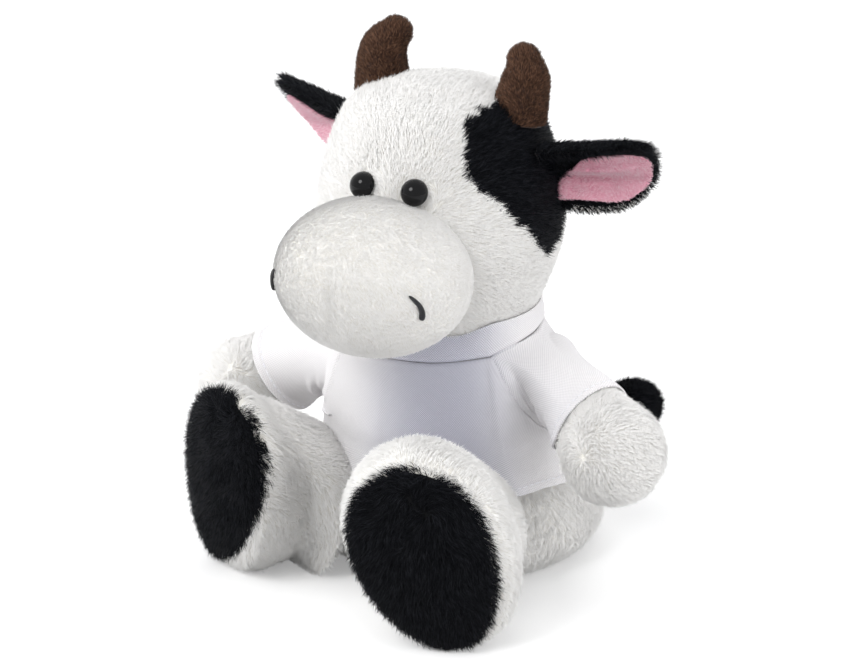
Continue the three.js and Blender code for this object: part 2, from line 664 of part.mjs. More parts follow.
const headRoom = solid(headShape(GAP));
const overShirt = torsoOutline(SLACK + CLOTH + SWING_GAP).filter(([, height]) => height > CHEST.at);
const collarProfile = [[0, overShirt[0][1]], ...overShirt, [0, overShirt.at(-1)[1]]];
const collarRoom = solid(turnedShape(collarProfile, neckFrame, FACETS.body));
const nostrilRoom = SIDES.map((side) => solid(nostrilShape(side, NOSTRIL.thickness + 2 * GAP)));
const muzzle = without(solid(muzzleShape()), headRoom, collarRoom, ...nostrilRoom, ...eyeRoom);
add(head, "muzzle", muzzle, "velour");
for (const { name, sign, frame } of eyes) {
  add(head, `eye_${name}`, solid(eyeShape(frame)), "bead");
  add(head, `eye_washer_${name}`, solid(washerShape(frame)), "washer");
  add(head, `nostril_${name}`, solid(nostrilShape({ name, sign }, NOSTRIL.thickness)), "thread");
  add(head, `horn_${name}`, solid(hornShape({ name, sign })).subtract(headRoom), "brown");
}

for (const { name, ear, arm, leg } of limbs) {
  const leaf = solid(leafShape(ear, EAR_LEAF));
  const lining = solid(leafShape(ear, {
    start: EAR.ball + GAP,
    length: LINING.length,
    share: LINING.share,
    aside: LINING.aside,
    front: LINING.gap + LINING.thickness,
    thickness: LINING.thickness,
  }));
  const earBall = solid(ballShape(ear, EAR.ball));
  add(head, `ear_${name}`, leaf.add(earBall), "black", hingeOf(ear, SWING.ear));
  add(head, `ear_lining_${name}`, without(lining, solid(ballShape(ear, EAR.ball + GAP))), "pink");

  const armSolid = solid(turnedShape(armOutline(), arm, FACETS.limb));
  add(toy, `arm_${name}`, armSolid, "white", hingeOf(arm, SWING.arm));
  const armInside = solid(turnedShape(armOutline(GAP), arm, FACETS.limb));
  add(toy, `sleeve_${name}`, solid(sleeveShape(arm)).subtract(armInside), "shirt");

  const foot = without(solid(legShape(leg)), solid(soleShape(leg, GAP)), underground);
  add(toy, `leg_${name}`, foot, "white", hingeOf(leg, SWING.leg));
  add(toy, `sole_${name}`, without(solid(soleShape(leg)), underground), "black");
}

const tailRope = solid(tailShape()).add(solid(ballShape(tailFrame, TAIL.ball)));
add(toy, "tail", tailRope.subtract(solid(tuftShape(GAP))), "white", hingeOf(tailFrame, SWING.tail));
add(toy, "tail_tuft", solid(tuftShape()), "black");

export default toy;
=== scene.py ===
import math

import bpy
import numpy as np
from mathutils import Matrix, Vector
from mathutils.kdtree import KDTree


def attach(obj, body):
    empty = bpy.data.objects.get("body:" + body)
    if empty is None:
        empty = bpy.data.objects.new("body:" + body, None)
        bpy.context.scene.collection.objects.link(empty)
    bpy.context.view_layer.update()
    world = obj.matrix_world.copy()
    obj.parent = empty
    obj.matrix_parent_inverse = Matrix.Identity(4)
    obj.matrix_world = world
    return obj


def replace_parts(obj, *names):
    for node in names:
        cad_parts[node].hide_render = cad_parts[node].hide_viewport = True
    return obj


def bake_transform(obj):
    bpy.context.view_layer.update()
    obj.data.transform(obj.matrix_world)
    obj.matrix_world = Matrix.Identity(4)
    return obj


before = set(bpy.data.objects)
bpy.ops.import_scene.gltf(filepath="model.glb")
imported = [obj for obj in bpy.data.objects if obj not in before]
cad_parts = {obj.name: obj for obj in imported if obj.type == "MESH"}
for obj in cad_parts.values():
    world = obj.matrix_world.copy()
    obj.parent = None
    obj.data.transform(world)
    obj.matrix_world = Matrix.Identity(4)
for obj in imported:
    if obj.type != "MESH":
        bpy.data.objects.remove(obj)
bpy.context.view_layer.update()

# A sitting plush cow in a short-sleeved shirt.
# Shapes are worked out in millimetres, in the frame of the CAD model. Meshes are in metres.
MM = 0.001
RING = 96  # points round a smooth form
rng = np.random.default_rng(11)

# Sizes, most of them those of the CAD model. Outlines are of (radius, height) points.

NECK_LEAN = 12
SHOULDERS_AT = 84
TORSO = [(44, -0.5), (52.64, 5.667), (56, 17), (45.5, 44), (41, 66), (38, 84), (30, 95)]
HEAD_TURN = 6.5
HEAD_WIDEST = 134
HEAD = [(30, 95.35), (37, 102), (45.8, HEAD_WIDEST), (35.3, 173), (17, 183.4), (0.01, 186)]
MUZZLE = {"size": (74, 62, 57.5), "centre": (-1.8, -50.6, 123.7)}
NOSTRIL = {"length": 9.5, "lean": 8, "sag": 3, "drop": 1.2, "left": 48, "right": 59}
EYE = {"radius": 5, "bulge": 4.6, "spacing": 20.4, "up": 154}
HORN = {"base": 10, "shoulder": 7.8, "tip": 5.5}
HORN_POSE = {
    "left": {"side": 30.5, "back": 1, "rise": 21, "bulge": 2.5, "curl": 1.2, "lean": 5},
    "right": {"side": 26.5, "back": 6, "rise": 21, "bulge": 0.5, "curl": 7, "lean": 5},
}
EAR = {"length": 37, "half": 18.5, "root": 0.9, "thickness": 3, "ball": 7, "set": 3.8}
EAR_FOLD = {"left": (13, 17), "right": (14, 38)}
EAR_POSE = {
    "left": {"up": 154, "back": 3, "lift": 5, "sweep": 10, "droop": 30},
    "right": {"up": 157.5, "back": 9, "lift": 4, "sweep": 18, "droop": 42},
}
LINING = {"start": 4, "length": 36, "thickness": 1.4, "gap": 0.6}
# How much of an ear's width its lining takes, and how far below the middle it lies, from root to tip
LINING_AT = {
    "left": {"share": (0.18, 0.5, 0.66, 0.72, 0.74), "below": (0.66, 0.32, 0.17, 0.13, 0.12)},
    "right": {"share": (0.1, 0.3, 0.52, 0.64, 0.7), "below": (0.85, 0.68, 0.48, 0.36, 0.3)},
}
SHOULDER = (41.5, 0, 79)
ARM = {"ball": 10.8, "waist": 12.2, "hand": 19, "reach": 53, "spread": 57.5}
ARM_DROP = {"left": 19.5, "right": 29.5}
SLEEVE = {"root": 15.5, "length": 33}
HIP = (25.5, -37, 24)
HIP_BALL = 22
LEG_POSE = {
    "left": {"reach": 62, "spread": 22.5, "lean": 28, "height": 80},
    "right": {"reach": 51, "spread": 33, "lean": 9, "height": 76},
}
FOOT = {"width": 58, "depth": 36, "crown": 4, "pitch": 3, "toe_out": 25, "taper": 0.1}
# Each sole's pad: the white rim round it, its shift on the foot and its turn
PAD = {
    "left": {"beside": 5, "above": 5, "aside": -2.4, "up": -0.5, "turn": -7, "taper": 0.12},
    "right": {"beside": 5, "above": 3, "aside": -1, "up": 1, "turn": -12, "taper": 0.22},
}
# The rings of a pad: how far ahead of the foot's rim, and how big against its edge
PAD_RINGS = [(-5, 0.94), (-1, 0.98), (0.6, 0.95), (2, 0.8), (3.2, 0.55), (3.9, 0.25), (4.1, 0.001)]
# The rings of each leg behind its foot: how far back, how big against the foot, and how far it sags
CALF = {
    "left": [(0.25, 1, 0), (0.5, 0.97, 0), (0.78, 0.84, 0)],
    "right": [(0.25, 0.99, 1), (0.46, 0.9, 4), (0.64, 0.86, 6)],
}
THIGH = {"left": (1.22, 0.8, 0), "right": (1.3, 0.6, 4)}  # the same at the hip, against its ball
TAIL = {"ball": 6, "radius": 4.6, "up": 30, "side": 38, "back": 15, "rise": 10.5}
TUFT = {"radius": 9.2, "length": 27}
SKIN = 2.6
# The edge of the black patch: degrees to the left of straight ahead, and height
PATCH = [
    (41, 176.5), (38, 160), (50, 151), (68, 137), (84, 126),
    (100, 133), (116, 148), (124, 164), (106, 177), (74, 179.5),
]

# Each pile: its length, the thickness of a strand, how flat it lies, how many strands stick together and how
# strongly, and how far its shading follows the skin
PILE = {
    "white": {"length": 4.0, "radius": 0.1, "lean": 0.93, "clump": 7, "pull": 0.15, "soft": 0.96},
    "short": {"length": 1.8, "radius": 0.085, "lean": 0.97, "clump": 5, "pull": 0.05, "soft": 0.985},
    "black": {"length": 5.2, "radius": 0.13, "lean": 0.78, "clump": 12, "pull": 0.6, "soft": 0.4},
    "brown": {"length": 2.2, "radius": 0.13, "lean": 0.65, "clump": 8, "pull": 0.6, "soft": 0.6},
    "pink": {"length": 1.4, "radius": 0.12, "lean": 0.92, "clump": 6, "pull": 0.4, "soft": 0.92},
}
STRAY = {"white": 0.2, "short": 0.12, "black": 0.2, "brown": 0.2, "pink": 0.2}
UNDER = 1.2  # how deep a long pile's roots lie under its outline
UNDER_SHORT = 0.6
MOST_STRANDS = 19000  # in one object
# How many strands a square millimetre carries
DENSITY = {
    "torso": 3.6, "arm": 5.6, "leg": 3.6, "sole": 6, "head": 5, "patch": 5.2, "muzzle": 7.5, "horn": 7,
    "ear": 5.5, "lining": 7, "tail": 3.6, "tuft": 7,
}
GROUND_GAP = 0.6  # between the plush and the ground, for its strands

SIDES = {"left": 1, "right": -1}
UP = np.array([0.0, 0, 1])
FORWARD = np.array([0.0, -1, 0])


# Vector tools

def unit(v):
    v = np.asarray(v, float)
    return v / np.maximum(np.linalg.norm(v, axis=-1, keepdims=True), 1e-9)


def dot(a, b):
    return (np.asarray(a) * b).sum(-1)


def turned(v, axis, degrees):
    """v turned about an axis through the origin."""
    return np.asarray(v, float) @ np.array(Matrix.Rotation(math.radians(degrees), 3, Vector(axis))).T


def lerp(a, b, share):
    return a + (b - a) * share


def hump(x, middle, width):
    return np.exp(-(((x - middle) / width) ** 2))


def spaced(values, t):
    """Values that stand at even steps from 0 to 1, read at t."""
    return np.interp(t, np.linspace(0, 1, len(values)), values)


def eased(t):
    """From 0 to 1 with no kink at either end."""
    return t * t * (3 - 2 * t)


def half_turn(degrees):
    """The same turn, between -180 and 180."""
    return (degrees + 180) % 360 - 180


def run_along(line):
    """How far each point lies from the first, along the line."""
    return np.concatenate([[0], np.cumsum(np.linalg.norm(np.diff(line, axis=0), axis=1))])


def read_line(at, run, line):
    """Points of a line at distances along it."""
    return np.stack([np.interp(at, run, column) for column in np.asarray(line).T], -1)


def curve(corners, count):
    """Points on the uniform Catmull-Rom curve through the corners, which may be rings."""
    p = np.asarray(corners, float)
    t = np.linspace(0, len(p) - 1, count + 1)
    i = np.minimum(t.astype(int), len(p) - 2)
    w = (t - i).reshape(-1, *[1] * (p.ndim - 1))
    p0, p1, p2, p3 = (p[np.clip(i + k, 0, len(p) - 1)] for k in (-1, 0, 1, 2))
    cubic = (3 * p1 - p0 - 3 * p2 + p3) * w**3
    return (2 * p1 + (p2 - p0) * w + (2 * p0 - 5 * p1 + 4 * p2 - p3) * w**2 + cubic) / 2


def circle(count=RING):
    turn = np.linspace(0, 2 * math.pi, count, endpoint=False)
    return np.cos(turn), np.sin(turn)


def ring(centre, across, along, taper=0, count=RING):
    x, y = circle(count)
    return centre + np.outer(x * (1 + taper * y), across) + np.outer(y, along)


def tube(centres, across, along, count):
    """Rings round a path, each with its own two half axes."""
    return np.array([ring(c, a, b, count=count) for c, a, b in zip(centres, across, along)])


def revolve(outline, pivot, out, count=RING):
    """Rings of an outline of (radius, distance) points turned about a line."""
    across = unit(np.cross(out, UP if abs(out[2]) < 0.9 else FORWARD))
    along = np.cross(out, across)
    return np.array([ring(pivot + distance * out, radius * across, radius * along, count=count)
                     for radius, distance in outline])


def arc(radius, start, end, count, shift=0):
    return [(max(0.01, radius * math.sin(math.radians(t))), shift + radius * math.cos(math.radians(t)))
            for t in np.linspace(start, end, count)]


def ripple(points, size, seed, waves=7):
    """A smooth random value from -1 to 1 at each point, with bumps of about a size."""
    draw = np.random.default_rng(seed)
    k = unit(draw.normal(size=(waves, 3))) * draw.uniform(0.7, 1.5, (waves, 1)) * math.pi / size
    return np.sin(points @ k.T + draw.uniform(0, 6.3, waves)).sum(-1) / math.sqrt(waves) / 1.6


def wander(points, size, seed):
    return np.stack([ripple(points, size, seed + i) for i in range(3)], -1)


def to_head(points):
    """From the head's own frame to the toy's."""
    return turned(points, UP, HEAD_TURN) + np.array([0, -NECK_LEAN, 0])


# Meshes

def new_object(name, mesh, material, body):
    made = bpy.data.objects.new(name, mesh)
    bpy.context.scene.collection.objects.link(made)
    for m in material if isinstance(material, list) else [material]:
        mesh.materials.append(m)
    if body:
        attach(made, body)
    return made


def mesh_of(name, points, faces):
    """A smooth mesh, turned so that its faces point out."""
    mesh = bpy.data.meshes.new(name)
    mesh.from_pydata((np.asarray(points) * MM).tolist(), [], faces)
    mesh.polygons.foreach_set("use_smooth", np.ones(len(mesh.polygons), bool))
    if sum(p.center.dot(p.normal) * p.area for p in mesh.polygons) < 0:
        mesh.flip_normals()
    return mesh


def skin_faces(rows, columns, wrap=True):
    """Quads over a grid of points, with the last column joined to the first."""
    row, column = np.meshgrid(np.arange(rows - 1), np.arange(columns if wrap else columns - 1), indexing="ij")
    a = (row * columns + column).ravel()
    b = (row * columns + (column + 1) % columns).ravel()
    return np.stack([a, b, b + columns, a + columns], -1)


def closed_mesh(name, rings):
    """A mesh over rings, closed at both ends by a fan."""
    rows, columns = rings.shape[:2]
    points = np.concatenate([rings.reshape(-1, 3), [rings[0].mean(0), rings[-1].mean(0)]])
    faces = skin_faces(rows, columns).tolist()
    last, middle = (rows - 1) * columns, rows * columns
    for i in range(columns):
        j = (i + 1) % columns
        faces += [(j, i, middle), (last + i, last + j, middle + 1)]
    return mesh_of(name, points, faces)


def shell_mesh(name, outer, inner, quads):
    """A closed mesh of two skins over the same quads, joined along their open edges."""
    count = len(outer)
    edges = np.concatenate([quads[:, [i, (i + 1) % 4]] for i in range(4)])
    keys = np.sort(edges, 1) @ [count, 1]
    _, first, times = np.unique(keys, return_index=True, return_counts=True)
    rim = edges[first[times == 1]]
    walls = np.stack([rim[:, 1], rim[:, 0], rim[:, 0] + count, rim[:, 1] + count], -1)
    faces = np.concatenate([quads, quads[:, ::-1] + count, walls])
    used, faces = np.unique(faces, return_inverse=True)
    return mesh_of(name, np.concatenate([outer, inner])[used], faces.reshape(-1, 4).tolist())


# Skins

def skin_normals(rings):
    """The outward normals of the skin over rings."""
    rows, columns = rings.shape[:2]
    points = rings.reshape(-1, 3)
    quads = skin_faces(rows, columns)
    cross = np.cross(points[quads[:, 2]] - points[quads[:, 0]], points[quads[:, 3]] - points[quads[:, 1]])
    normals = np.zeros_like(points)
    for corner in range(4):
        np.add.at(normals, quads[:, corner], cross)
    if dot(points[quads].mean(1) - points.mean(0), cross).sum() < 0:
        normals = -normals
    return unit(normals).reshape(rings.shape)


def inset(rings, amount):
    return rings - skin_normals(rings) * amount


def on_ground(rings):
    rings[..., 2] = np.maximum(rings[..., 2], GROUND_GAP)
    return rings


def roots_on(rings, density, keep=None):
    """Random points on the skin over rings, so many to a square millimetre, with the skin's normals there."""
    rows, columns = rings.shape[:2]
    points, normals = rings.reshape(-1, 3), skin_normals(rings).reshape(-1, 3)
    quads = skin_faces(rows, columns)
    faces = np.concatenate([quads[:, [0, 1, 2]], quads[:, [0, 2, 3]]])
    cross = np.cross(points[faces[:, 1]] - points[faces[:, 0]], points[faces[:, 2]] - points[faces[:, 0]])
    area = np.linalg.norm(cross, axis=1) / 2
    chosen = rng.choice(len(faces), int(area.sum() * density), p=area / area.sum())
    a, b = rng.random((2, len(chosen), 1))
    a, b = np.where(a + b > 1, 1 - a, a), np.where(a + b > 1, 1 - b, b)
    weights = np.concatenate([1 - a - b, a, b], 1)[..., None]
    roots = (points[faces[chosen]] * weights).sum(1)
    facing = unit((normals[faces[chosen]] * weights).sum(1))
    kept = np.ones(len(roots), bool) if keep is None else keep(roots)
    return roots[kept], facing[kept]


def padded_skin(name, rings, material, body, node):
    skin = new_object(name, closed_mesh(name, rings), material, body)
    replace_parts(skin, node)


# Hair

# A strand's triangles, over three points at its base, three halfway up and its tip
STRAND_FACES = np.array([
    (2, 1, 0), (0, 1, 4), (0, 4, 3), (1, 2, 5), (1, 5, 4),
    (2, 0, 3), (2, 3, 5), (3, 4, 6), (4, 5, 6), (5, 3, 6),
])


def clumped(roots, tips, size, pull):
    """Tips drawn together in tufts of so many strands."""
    count = max(1, len(roots) // size)
    centres = rng.choice(len(roots), count, replace=False)
    tree = KDTree(count)
    for i, c in enumerate(centres):
        tree.insert(roots[c], i)
    tree.balance()
    nearest = centres[[tree.find(p)[1] for p in roots.tolist()]]
    strength = pull * rng.uniform(0.5, 1, (len(roots), 1))
    return tips + (roots[nearest] - roots) * strength


def hair(name, body, kind, roots, normals, lay, scale=1):
    """Closed three-sided strands that rise from a skin and bend over towards lay."""
    if len(roots) > MOST_STRANDS:
        parts = math.ceil(len(roots) / MOST_STRANDS)
        turn = np.argsort(roots @ unit([0.6, 0.5, 0.62]))
        for i, part in enumerate(np.array_split(turn, parts)):
            size = scale if np.isscalar(scale) else scale[part]
            hair(f"{name}_{i + 1}", body, kind, roots[part], normals[part], lay[part], size)
        return
    look = PILE[kind]
    count, lean = len(roots), look["lean"]
    long = look["length"] * rng.uniform(0.7, 1.15, (count, 1)) * np.reshape(scale, (-1, 1))
    lay = unit(lay - dot(lay, normals)[:, None] * normals)
    stray = rng.normal(size=(count, 3)) * STRAY[kind]
    rise = unit(normals * (1 - 0.55 * lean) + lay * 0.6 * lean + stray * 0.6)
    bend = unit(normals * (1 - 0.95 * lean) + lay * lean + stray)
    middle = roots + rise * long * 0.5
    tip = middle + bend * long * 0.5
    pulled = clumped(roots, tip, look["clump"], look["pull"])
    middle = middle + (pulled - tip) * 0.35
    tip = pulled
    side = unit(np.cross(rise, rng.normal(size=(count, 3))))
    other = np.cross(rise, side)
    thick = look["radius"] * rng.uniform(0.75, 1.25, (count, 1))
    corners = [math.cos(t) * side + math.sin(t) * other for t in (0, 2 * math.pi / 3, 4 * math.pi / 3)]
    base = roots - normals * 0.4
    upper = [middle + c * thick * 0.85 for c in corners]
    points = np.stack([*(base + c * thick for c in corners), *upper, tip], 1)
    points[..., 2] = np.maximum(points[..., 2], 0.15)
    triangles = (STRAND_FACES[None] + 7 * np.arange(count)[:, None, None]).reshape(-1, 3)
    shade = np.stack([*corners, *corners, bend], 1)
    shade = unit(normals[:, None] * look["soft"] + shade * (1 - look["soft"]))
    mesh = bpy.data.meshes.new(name)
    mesh.vertices.add(count * 7)
    mesh.vertices.foreach_set("co", (points * MM).astype(np.float32).ravel())
    mesh.loops.add(len(triangles) * 3)
    mesh.loops.foreach_set("vertex_index", triangles.astype(np.int32).ravel())
    mesh.polygons.add(len(triangles))
    mesh.polygons.foreach_set("loop_start", np.arange(0, 3 * len(triangles), 3, dtype=np.int32))
    mesh.polygons.foreach_set("use_smooth", np.ones(len(triangles), bool))
    materials, shares = strands[kind]
    which = rng.choice(len(materials), count, p=shares)
    mesh.polygons.foreach_set("material_index", np.repeat(which, len(STRAND_FACES)).astype(np.int32))
    mesh.update()
    mesh.attributes.new("custom_normal", "FLOAT_VECTOR", "POINT")
    mesh.attributes["custom_normal"].data.foreach_set("vector", shade.astype(np.float32).ravel())
    new_object(name, mesh, materials, body)


def head_hair(name, body, kind, roots, normals, lay, scale=1):
    """Hair on a form that is given in the head's own frame."""
    lay = turned(lay, UP, HEAD_TURN)
    hair(name, body, kind, to_head(roots), turned(normals, UP, HEAD_TURN), lay, scale)


# Materials

def shader(name, color, roughness, sheen=0, specular=0.3):
    """A principled material, its node tree and its shader."""
    material = bpy.data.materials.new(name)
    material.use_nodes = True
    surface = material.node_tree.nodes["Principled BSDF"]
    surface.inputs["Base Color"].default_value = (*color, 1)
    surface.inputs["Roughness"].default_value = roughness
    surface.inputs["Sheen Weight"].default_value = sheen
    surface.inputs["Specular IOR Level"].default_value = specular
    return material, material.node_tree, surface


def math_node(tree, operation, *values):
    """The result of an operation on sockets and numbers."""
    node = tree.nodes.new("ShaderNodeMath")
    node.operation = operation
    for socket, value in zip(node.inputs, values):
        if isinstance(value, bpy.types.NodeSocket):
            tree.links.new(value, socket)
        else:
            socket.default_value = value
    return node.outputs[0]


def color_mix(tree, share, *colors):
    """The colour at a share between two, which are numbers or sockets."""
    node = tree.nodes.new("ShaderNodeMix")
    node.data_type = "RGBA"
    tree.links.new(share, node.inputs["Factor"])
    for name, color in zip("AB", colors):
        if isinstance(color, bpy.types.NodeSocket):
            tree.links.new(color, node.inputs[name])
        else:
            node.inputs[name].default_value = (*color, 1)
    return node.outputs["Result"]


def add_bump(tree, surface, height, distance):
    bump = tree.nodes.new("ShaderNodeBump")
    bump.inputs["Strength"].default_value = 0.5
    bump.inputs["Distance"].default_value = distance
    tree.links.new(height, bump.inputs["Height"])
    tree.links.new(bump.outputs["Normal"], surface.inputs["Normal"])


def pile(name, *colors, roughness=0.8, sheen=0.2, specular=0.3):
    """Materials for a pile whose strands vary."""
    return [shader(f"{name}_{i + 1}", color, roughness, sheen, specular)[0] for i, color in enumerate(colors)]


def backing(name, dark, light, grain, roughness=0.95):
    """The fabric under a pile: mottled, with a fine bump."""
    material, tree, surface = shader(name, light, roughness, 0.2)
    noise = tree.nodes.new("ShaderNodeTexNoise")
    noise.inputs["Scale"].default_value = grain
    noise.inputs["Detail"].default_value = 3
    ramp = tree.nodes.new("ShaderNodeValToRGB")
    for end, color, position in zip(ramp.color_ramp.elements, (dark, light), (0.3, 0.7)):
        end.color = (*color, 1)
        end.position = position
    coordinates = tree.nodes.new("ShaderNodeTexCoord")
    tree.links.new(coordinates.outputs["Object"], noise.inputs["Vector"])
    tree.links.new(noise.outputs["Fac"], ramp.inputs["Fac"])
    tree.links.new(ramp.outputs["Color"], surface.inputs["Base Color"])
    add_bump(tree, surface, noise.outputs["Fac"], 0.0006)
    return material


# The knit: its pitch, and the colours of its holes and of its yarn, each first as lit and then under the
# painted shade in the middle of the front
KNIT = {
    "pitch": 0.9,
    "holes": [(0.7, 0.685, 0.7), (0.26, 0.265, 0.34)],
    "yarn": [(0.93, 0.915, 0.92), (0.7, 0.7, 0.78)],
}


def knit_material():
    """Plain white mesh knit: rows of small holes, laid out by the cloth's UV map in metres. In the middle of
    the front, holes and yarn both take a painted shade, darker there, for the shade under the muzzle and
    behind the cloth where it stands off the plush."""
    material, tree, surface = shader("shirt_knit", (0.87, 0.87, 0.92), 0.75, 0.15)
    uv = tree.nodes.new("ShaderNodeUVMap")
    uv.uv_map = "cloth"
    flat = tree.nodes.new("ShaderNodeSeparateXYZ")
    tree.links.new(uv.outputs["UV"], flat.inputs["Vector"])
    wave = 2 * math.pi / (KNIT["pitch"] * MM)
    across = math_node(tree, "SINE", math_node(tree, "MULTIPLY", flat.outputs["X"], wave))
    along = math_node(tree, "SINE", math_node(tree, "MULTIPLY", flat.outputs["Y"], wave))
    dimple = math_node(tree, "MULTIPLY_ADD", math_node(tree, "MULTIPLY", across, along), 0.5, 0.5)

    place = tree.nodes.new("ShaderNodeTexCoord")
    where = tree.nodes.new("ShaderNodeSeparateXYZ")
    tree.links.new(place.outputs["Object"], where.inputs["Vector"])
    ahead = math_node(tree, "MULTIPLY_ADD", where.outputs["Y"], -1, -0.008)
    turn = math_node(tree, "ARCTAN2", where.outputs["X"], ahead)
    # A painted shade, strongest at about 30 degrees to the left of straight ahead and fading to either side
    aside = math_node(tree, "ABSOLUTE", math_node(tree, "MULTIPLY_ADD", turn, 1.75, -0.92))
    off = math_node(tree, "POWER", aside, 3)
    painted_shade = math_node(tree, "POWER", math.e, math_node(tree, "MULTIPLY", off, -1))
    holes, yarn = (color_mix(tree, painted_shade, *KNIT[part]) for part in ("holes", "yarn"))
    tree.links.new(color_mix(tree, dimple, holes, yarn), surface.inputs["Base Color"])
    add_bump(tree, surface, dimple, 0.0004)
    return material


WHITE = (0.965, 0.953, 0.93)
white_pile = pile("white_pile", WHITE, (0.93, 0.915, 0.885), (0.97, 0.965, 0.95), sheen=0.5)
short_pile = pile("short_pile", WHITE, (0.94, 0.925, 0.9), sheen=0.5)
black_pile = pile("black_pile", (0.0015, 0.002, 0.0035), (0.014, 0.015, 0.019),
                  roughness=0.5, sheen=0, specular=0.1)
brown_pile = pile("brown_pile", (0.085, 0.041, 0.024), (0.035, 0.017, 0.01), (0.15, 0.078, 0.047),
                  sheen=0.1, specular=0.15)
pink_pile = pile("pink_pile", (0.87, 0.45, 0.55), (0.92, 0.62, 0.69))
# Each pile's materials, and the share of its strands that have each
strands = {
    "white": (white_pile, [0.6, 0.2, 0.2]),
    "short": (short_pile, [0.7, 0.3]),
    "black": (black_pile, [0.75, 0.25]),
    "brown": (brown_pile, [0.5, 0.25, 0.25]),
    "pink": (pink_pile, [0.6, 0.4]),
}
white_backing = backing("white_backing", (0.78, 0.755, 0.69), (0.9, 0.885, 0.85), 260)
black_backing = backing("black_backing", (0.001, 0.001, 0.0015), (0.004, 0.0045, 0.006), 300, 1)
brown_backing = backing("brown_backing", (0.02, 0.01, 0.008), (0.07, 0.036, 0.024), 500)
pink_backing = backing("pink_backing", (0.72, 0.28, 0.38), (0.86, 0.45, 0.55), 400)
fibre = backing("filling_fibre", (0.7, 0.7, 0.69), (0.9, 0.9, 0.89), 500)
knit = knit_material()
sewing = backing("shirt_thread", (0.86, 0.86, 0.92), (0.95, 0.95, 0.98), 900, 0.7)


# Torso

torso_outline = curve(TORSO, 60)


def torso_middle(height):
    t = np.clip(np.asarray(height, float) / SHOULDERS_AT, 0, 1)
    return np.stack([0 * t, -NECK_LEAN * eased(t), np.asarray(height, float)], -1)


def torso_radius(height):
    return np.interp(height, torso_outline[:, 1], torso_outline[:, 0])


def torso_rings(grow=0):
    return np.array([ring(torso_middle(h), np.array([r + grow, 0, 0]), np.array([0, r + grow, 0]))
                     for r, h in torso_outline])


def outside_torso(points, grow):
    away = np.linalg.norm((points - torso_middle(points[:, 2]))[:, :2], axis=1)
    return (away > torso_radius(points[:, 2]) + grow) | (points[:, 2] > 94)


def facing_turn(points):
    """Degrees to the left of straight ahead, about the upper torso."""
    return np.degrees(np.arctan2(points[..., 0], -8 - points[..., 1]))


def make_torso():
    rings = on_ground(inset(torso_rings(), UNDER))
    padded_skin("torso_plush", rings, white_backing, "torso", "torso_skin")
    filling = torso_rings(-SKIN - 1)
    filling[..., 2] = np.clip(filling[..., 2], 3.6, 92)
    padded_skin("torso_stuffing", filling, fibre, "torso", "torso_filling")
    bare = lambda p: (p[:, 2] > 1) & (p[:, 2] < hem_height(facing_turn(p)) + 1)
    roots, normals = roots_on(rings, DENSITY["torso"], bare)
    lay = np.array([0, 0, -1.0]) + 0.5 * wander(roots, 14, 3)
    hair("torso_fur", "torso", "white", roots, normals, lay)


# Shirt: each panel is a thin closed shell laid out by turn (degrees to the left of straight ahead) and height

CLOTH = 0.8
SLACK = 2.2  # from the torso's outline to the shirt's outside
SHOULDER_LINE = 38.7  # the shirt's radius beside the neck
HEM_LINE = [
    (-180, 30), (-120, 35), (-57, 42), (-25, 36.5), (20, 35),
    (55, 36.8), (75, 36.8), (95, 34.5), (130, 31), (180, 30),
]
BAND_LINE = [
    (-180, 92), (-128, 92.5), (-90, 92.5), (-60, 90), (-33, 87.8), (0, 88.2),
    (27, 88), (62.5, 88.8), (80, 91.8), (110, 93.5), (128, 93), (180, 92),
]
# Each sleeve's seam with the body, from the armpit up to the neck band, in front and behind
RAGLAN = {
    "left": {"front": [(95, 52), (86, 58.8), (76, 67.5), (68.5, 77.5), (62.5, 88.8)],
             "back": [(95, 52), (101, 58), (108, 67), (117, 79), (128, 93)]},
    "right": {"front": [(-95, 54), (-74, 54.5), (-54, 56.5), (-42, 67.5), (-37, 75.8), (-33.5, 83),
                        (-33, 87.8)],
              "back": [(-95, 54), (-104, 60), (-112, 69), (-120, 80), (-128, 92.5)]},
}
SEAM = {"depth": 0.35, "width": 0.45, "roll": 0.22}
TURNED_UP = {"body": 3.1, "sleeve": 3.2}  # how wide a strip is sewn up at each hem
STITCH = {"pitch": 3.0, "length": 2.1, "radius": 0.2}


def line_height(line, turn):
    return np.interp(turn, *np.array(line).T)


def hem_height(turn):
    return line_height(HEM_LINE, turn)


def shirt_folds(turn, height):
    """How far the shirt stands out: a recess between two upright folds in front, and a flare at the hem."""
    hang = np.clip((90 - height) / 25, 0, 1)
    crease = np.clip(turn - 59, 0, None)
    front = 2.4 / (1 + np.exp(-(turn - 59) / 0.9)) * np.exp(-crease / 14)
    beyond = np.clip(1 - turn, 0, None)
    front = front + 1.5 / (1 + np.exp((turn - 3) / 1.8)) * np.exp(-beyond / 12) - 0.9 * hump(turn, 31, 22)
    sides = 1.0 * hump(turn, -45, 9) + 1.2 * hump(turn, 118, 14)
    sides = sides + 0.8 * hump(turn, 165, 12) + hump(turn, -150, 14)
    return (front + sides) * np.sqrt(hang) + 0.6 * hump(height, 33, 9)


def on_shirt(turn, height):
    """A point of the shirt's outside. Beside the neck it stands off the torso."""
    lift = np.clip((np.abs(turn - 15) - 42) / 25, 0, 1) * np.clip((height - 80) / 8, 0, 1)
    radius = lerp(torso_radius(height) + SLACK, SHOULDER_LINE, eased(lift))
    radius = radius + shirt_folds(turn, height) * (1 - lift)
    angle = np.radians(turn)
    return torso_middle(height) + np.stack([radius * np.sin(angle), -radius * np.cos(angle), 0 * angle], -1)


def along_line(corners, shares, smooth=True):
    """Points at shares of the length of a line through (turn, height) corners."""
    line = curve(corners, 24 * len(corners)) if smooth else np.array(corners, float)
    run = run_along(line * [0.7, 1])
    return read_line(shares * run[-1], run, line)


def crowded(count):
    """Shares from 0 to 1 that lie closer together at both ends."""
    t = np.linspace(0, 1, count)
    return t - 0.88 * np.sin(2 * math.pi * t) / (2 * math.pi)


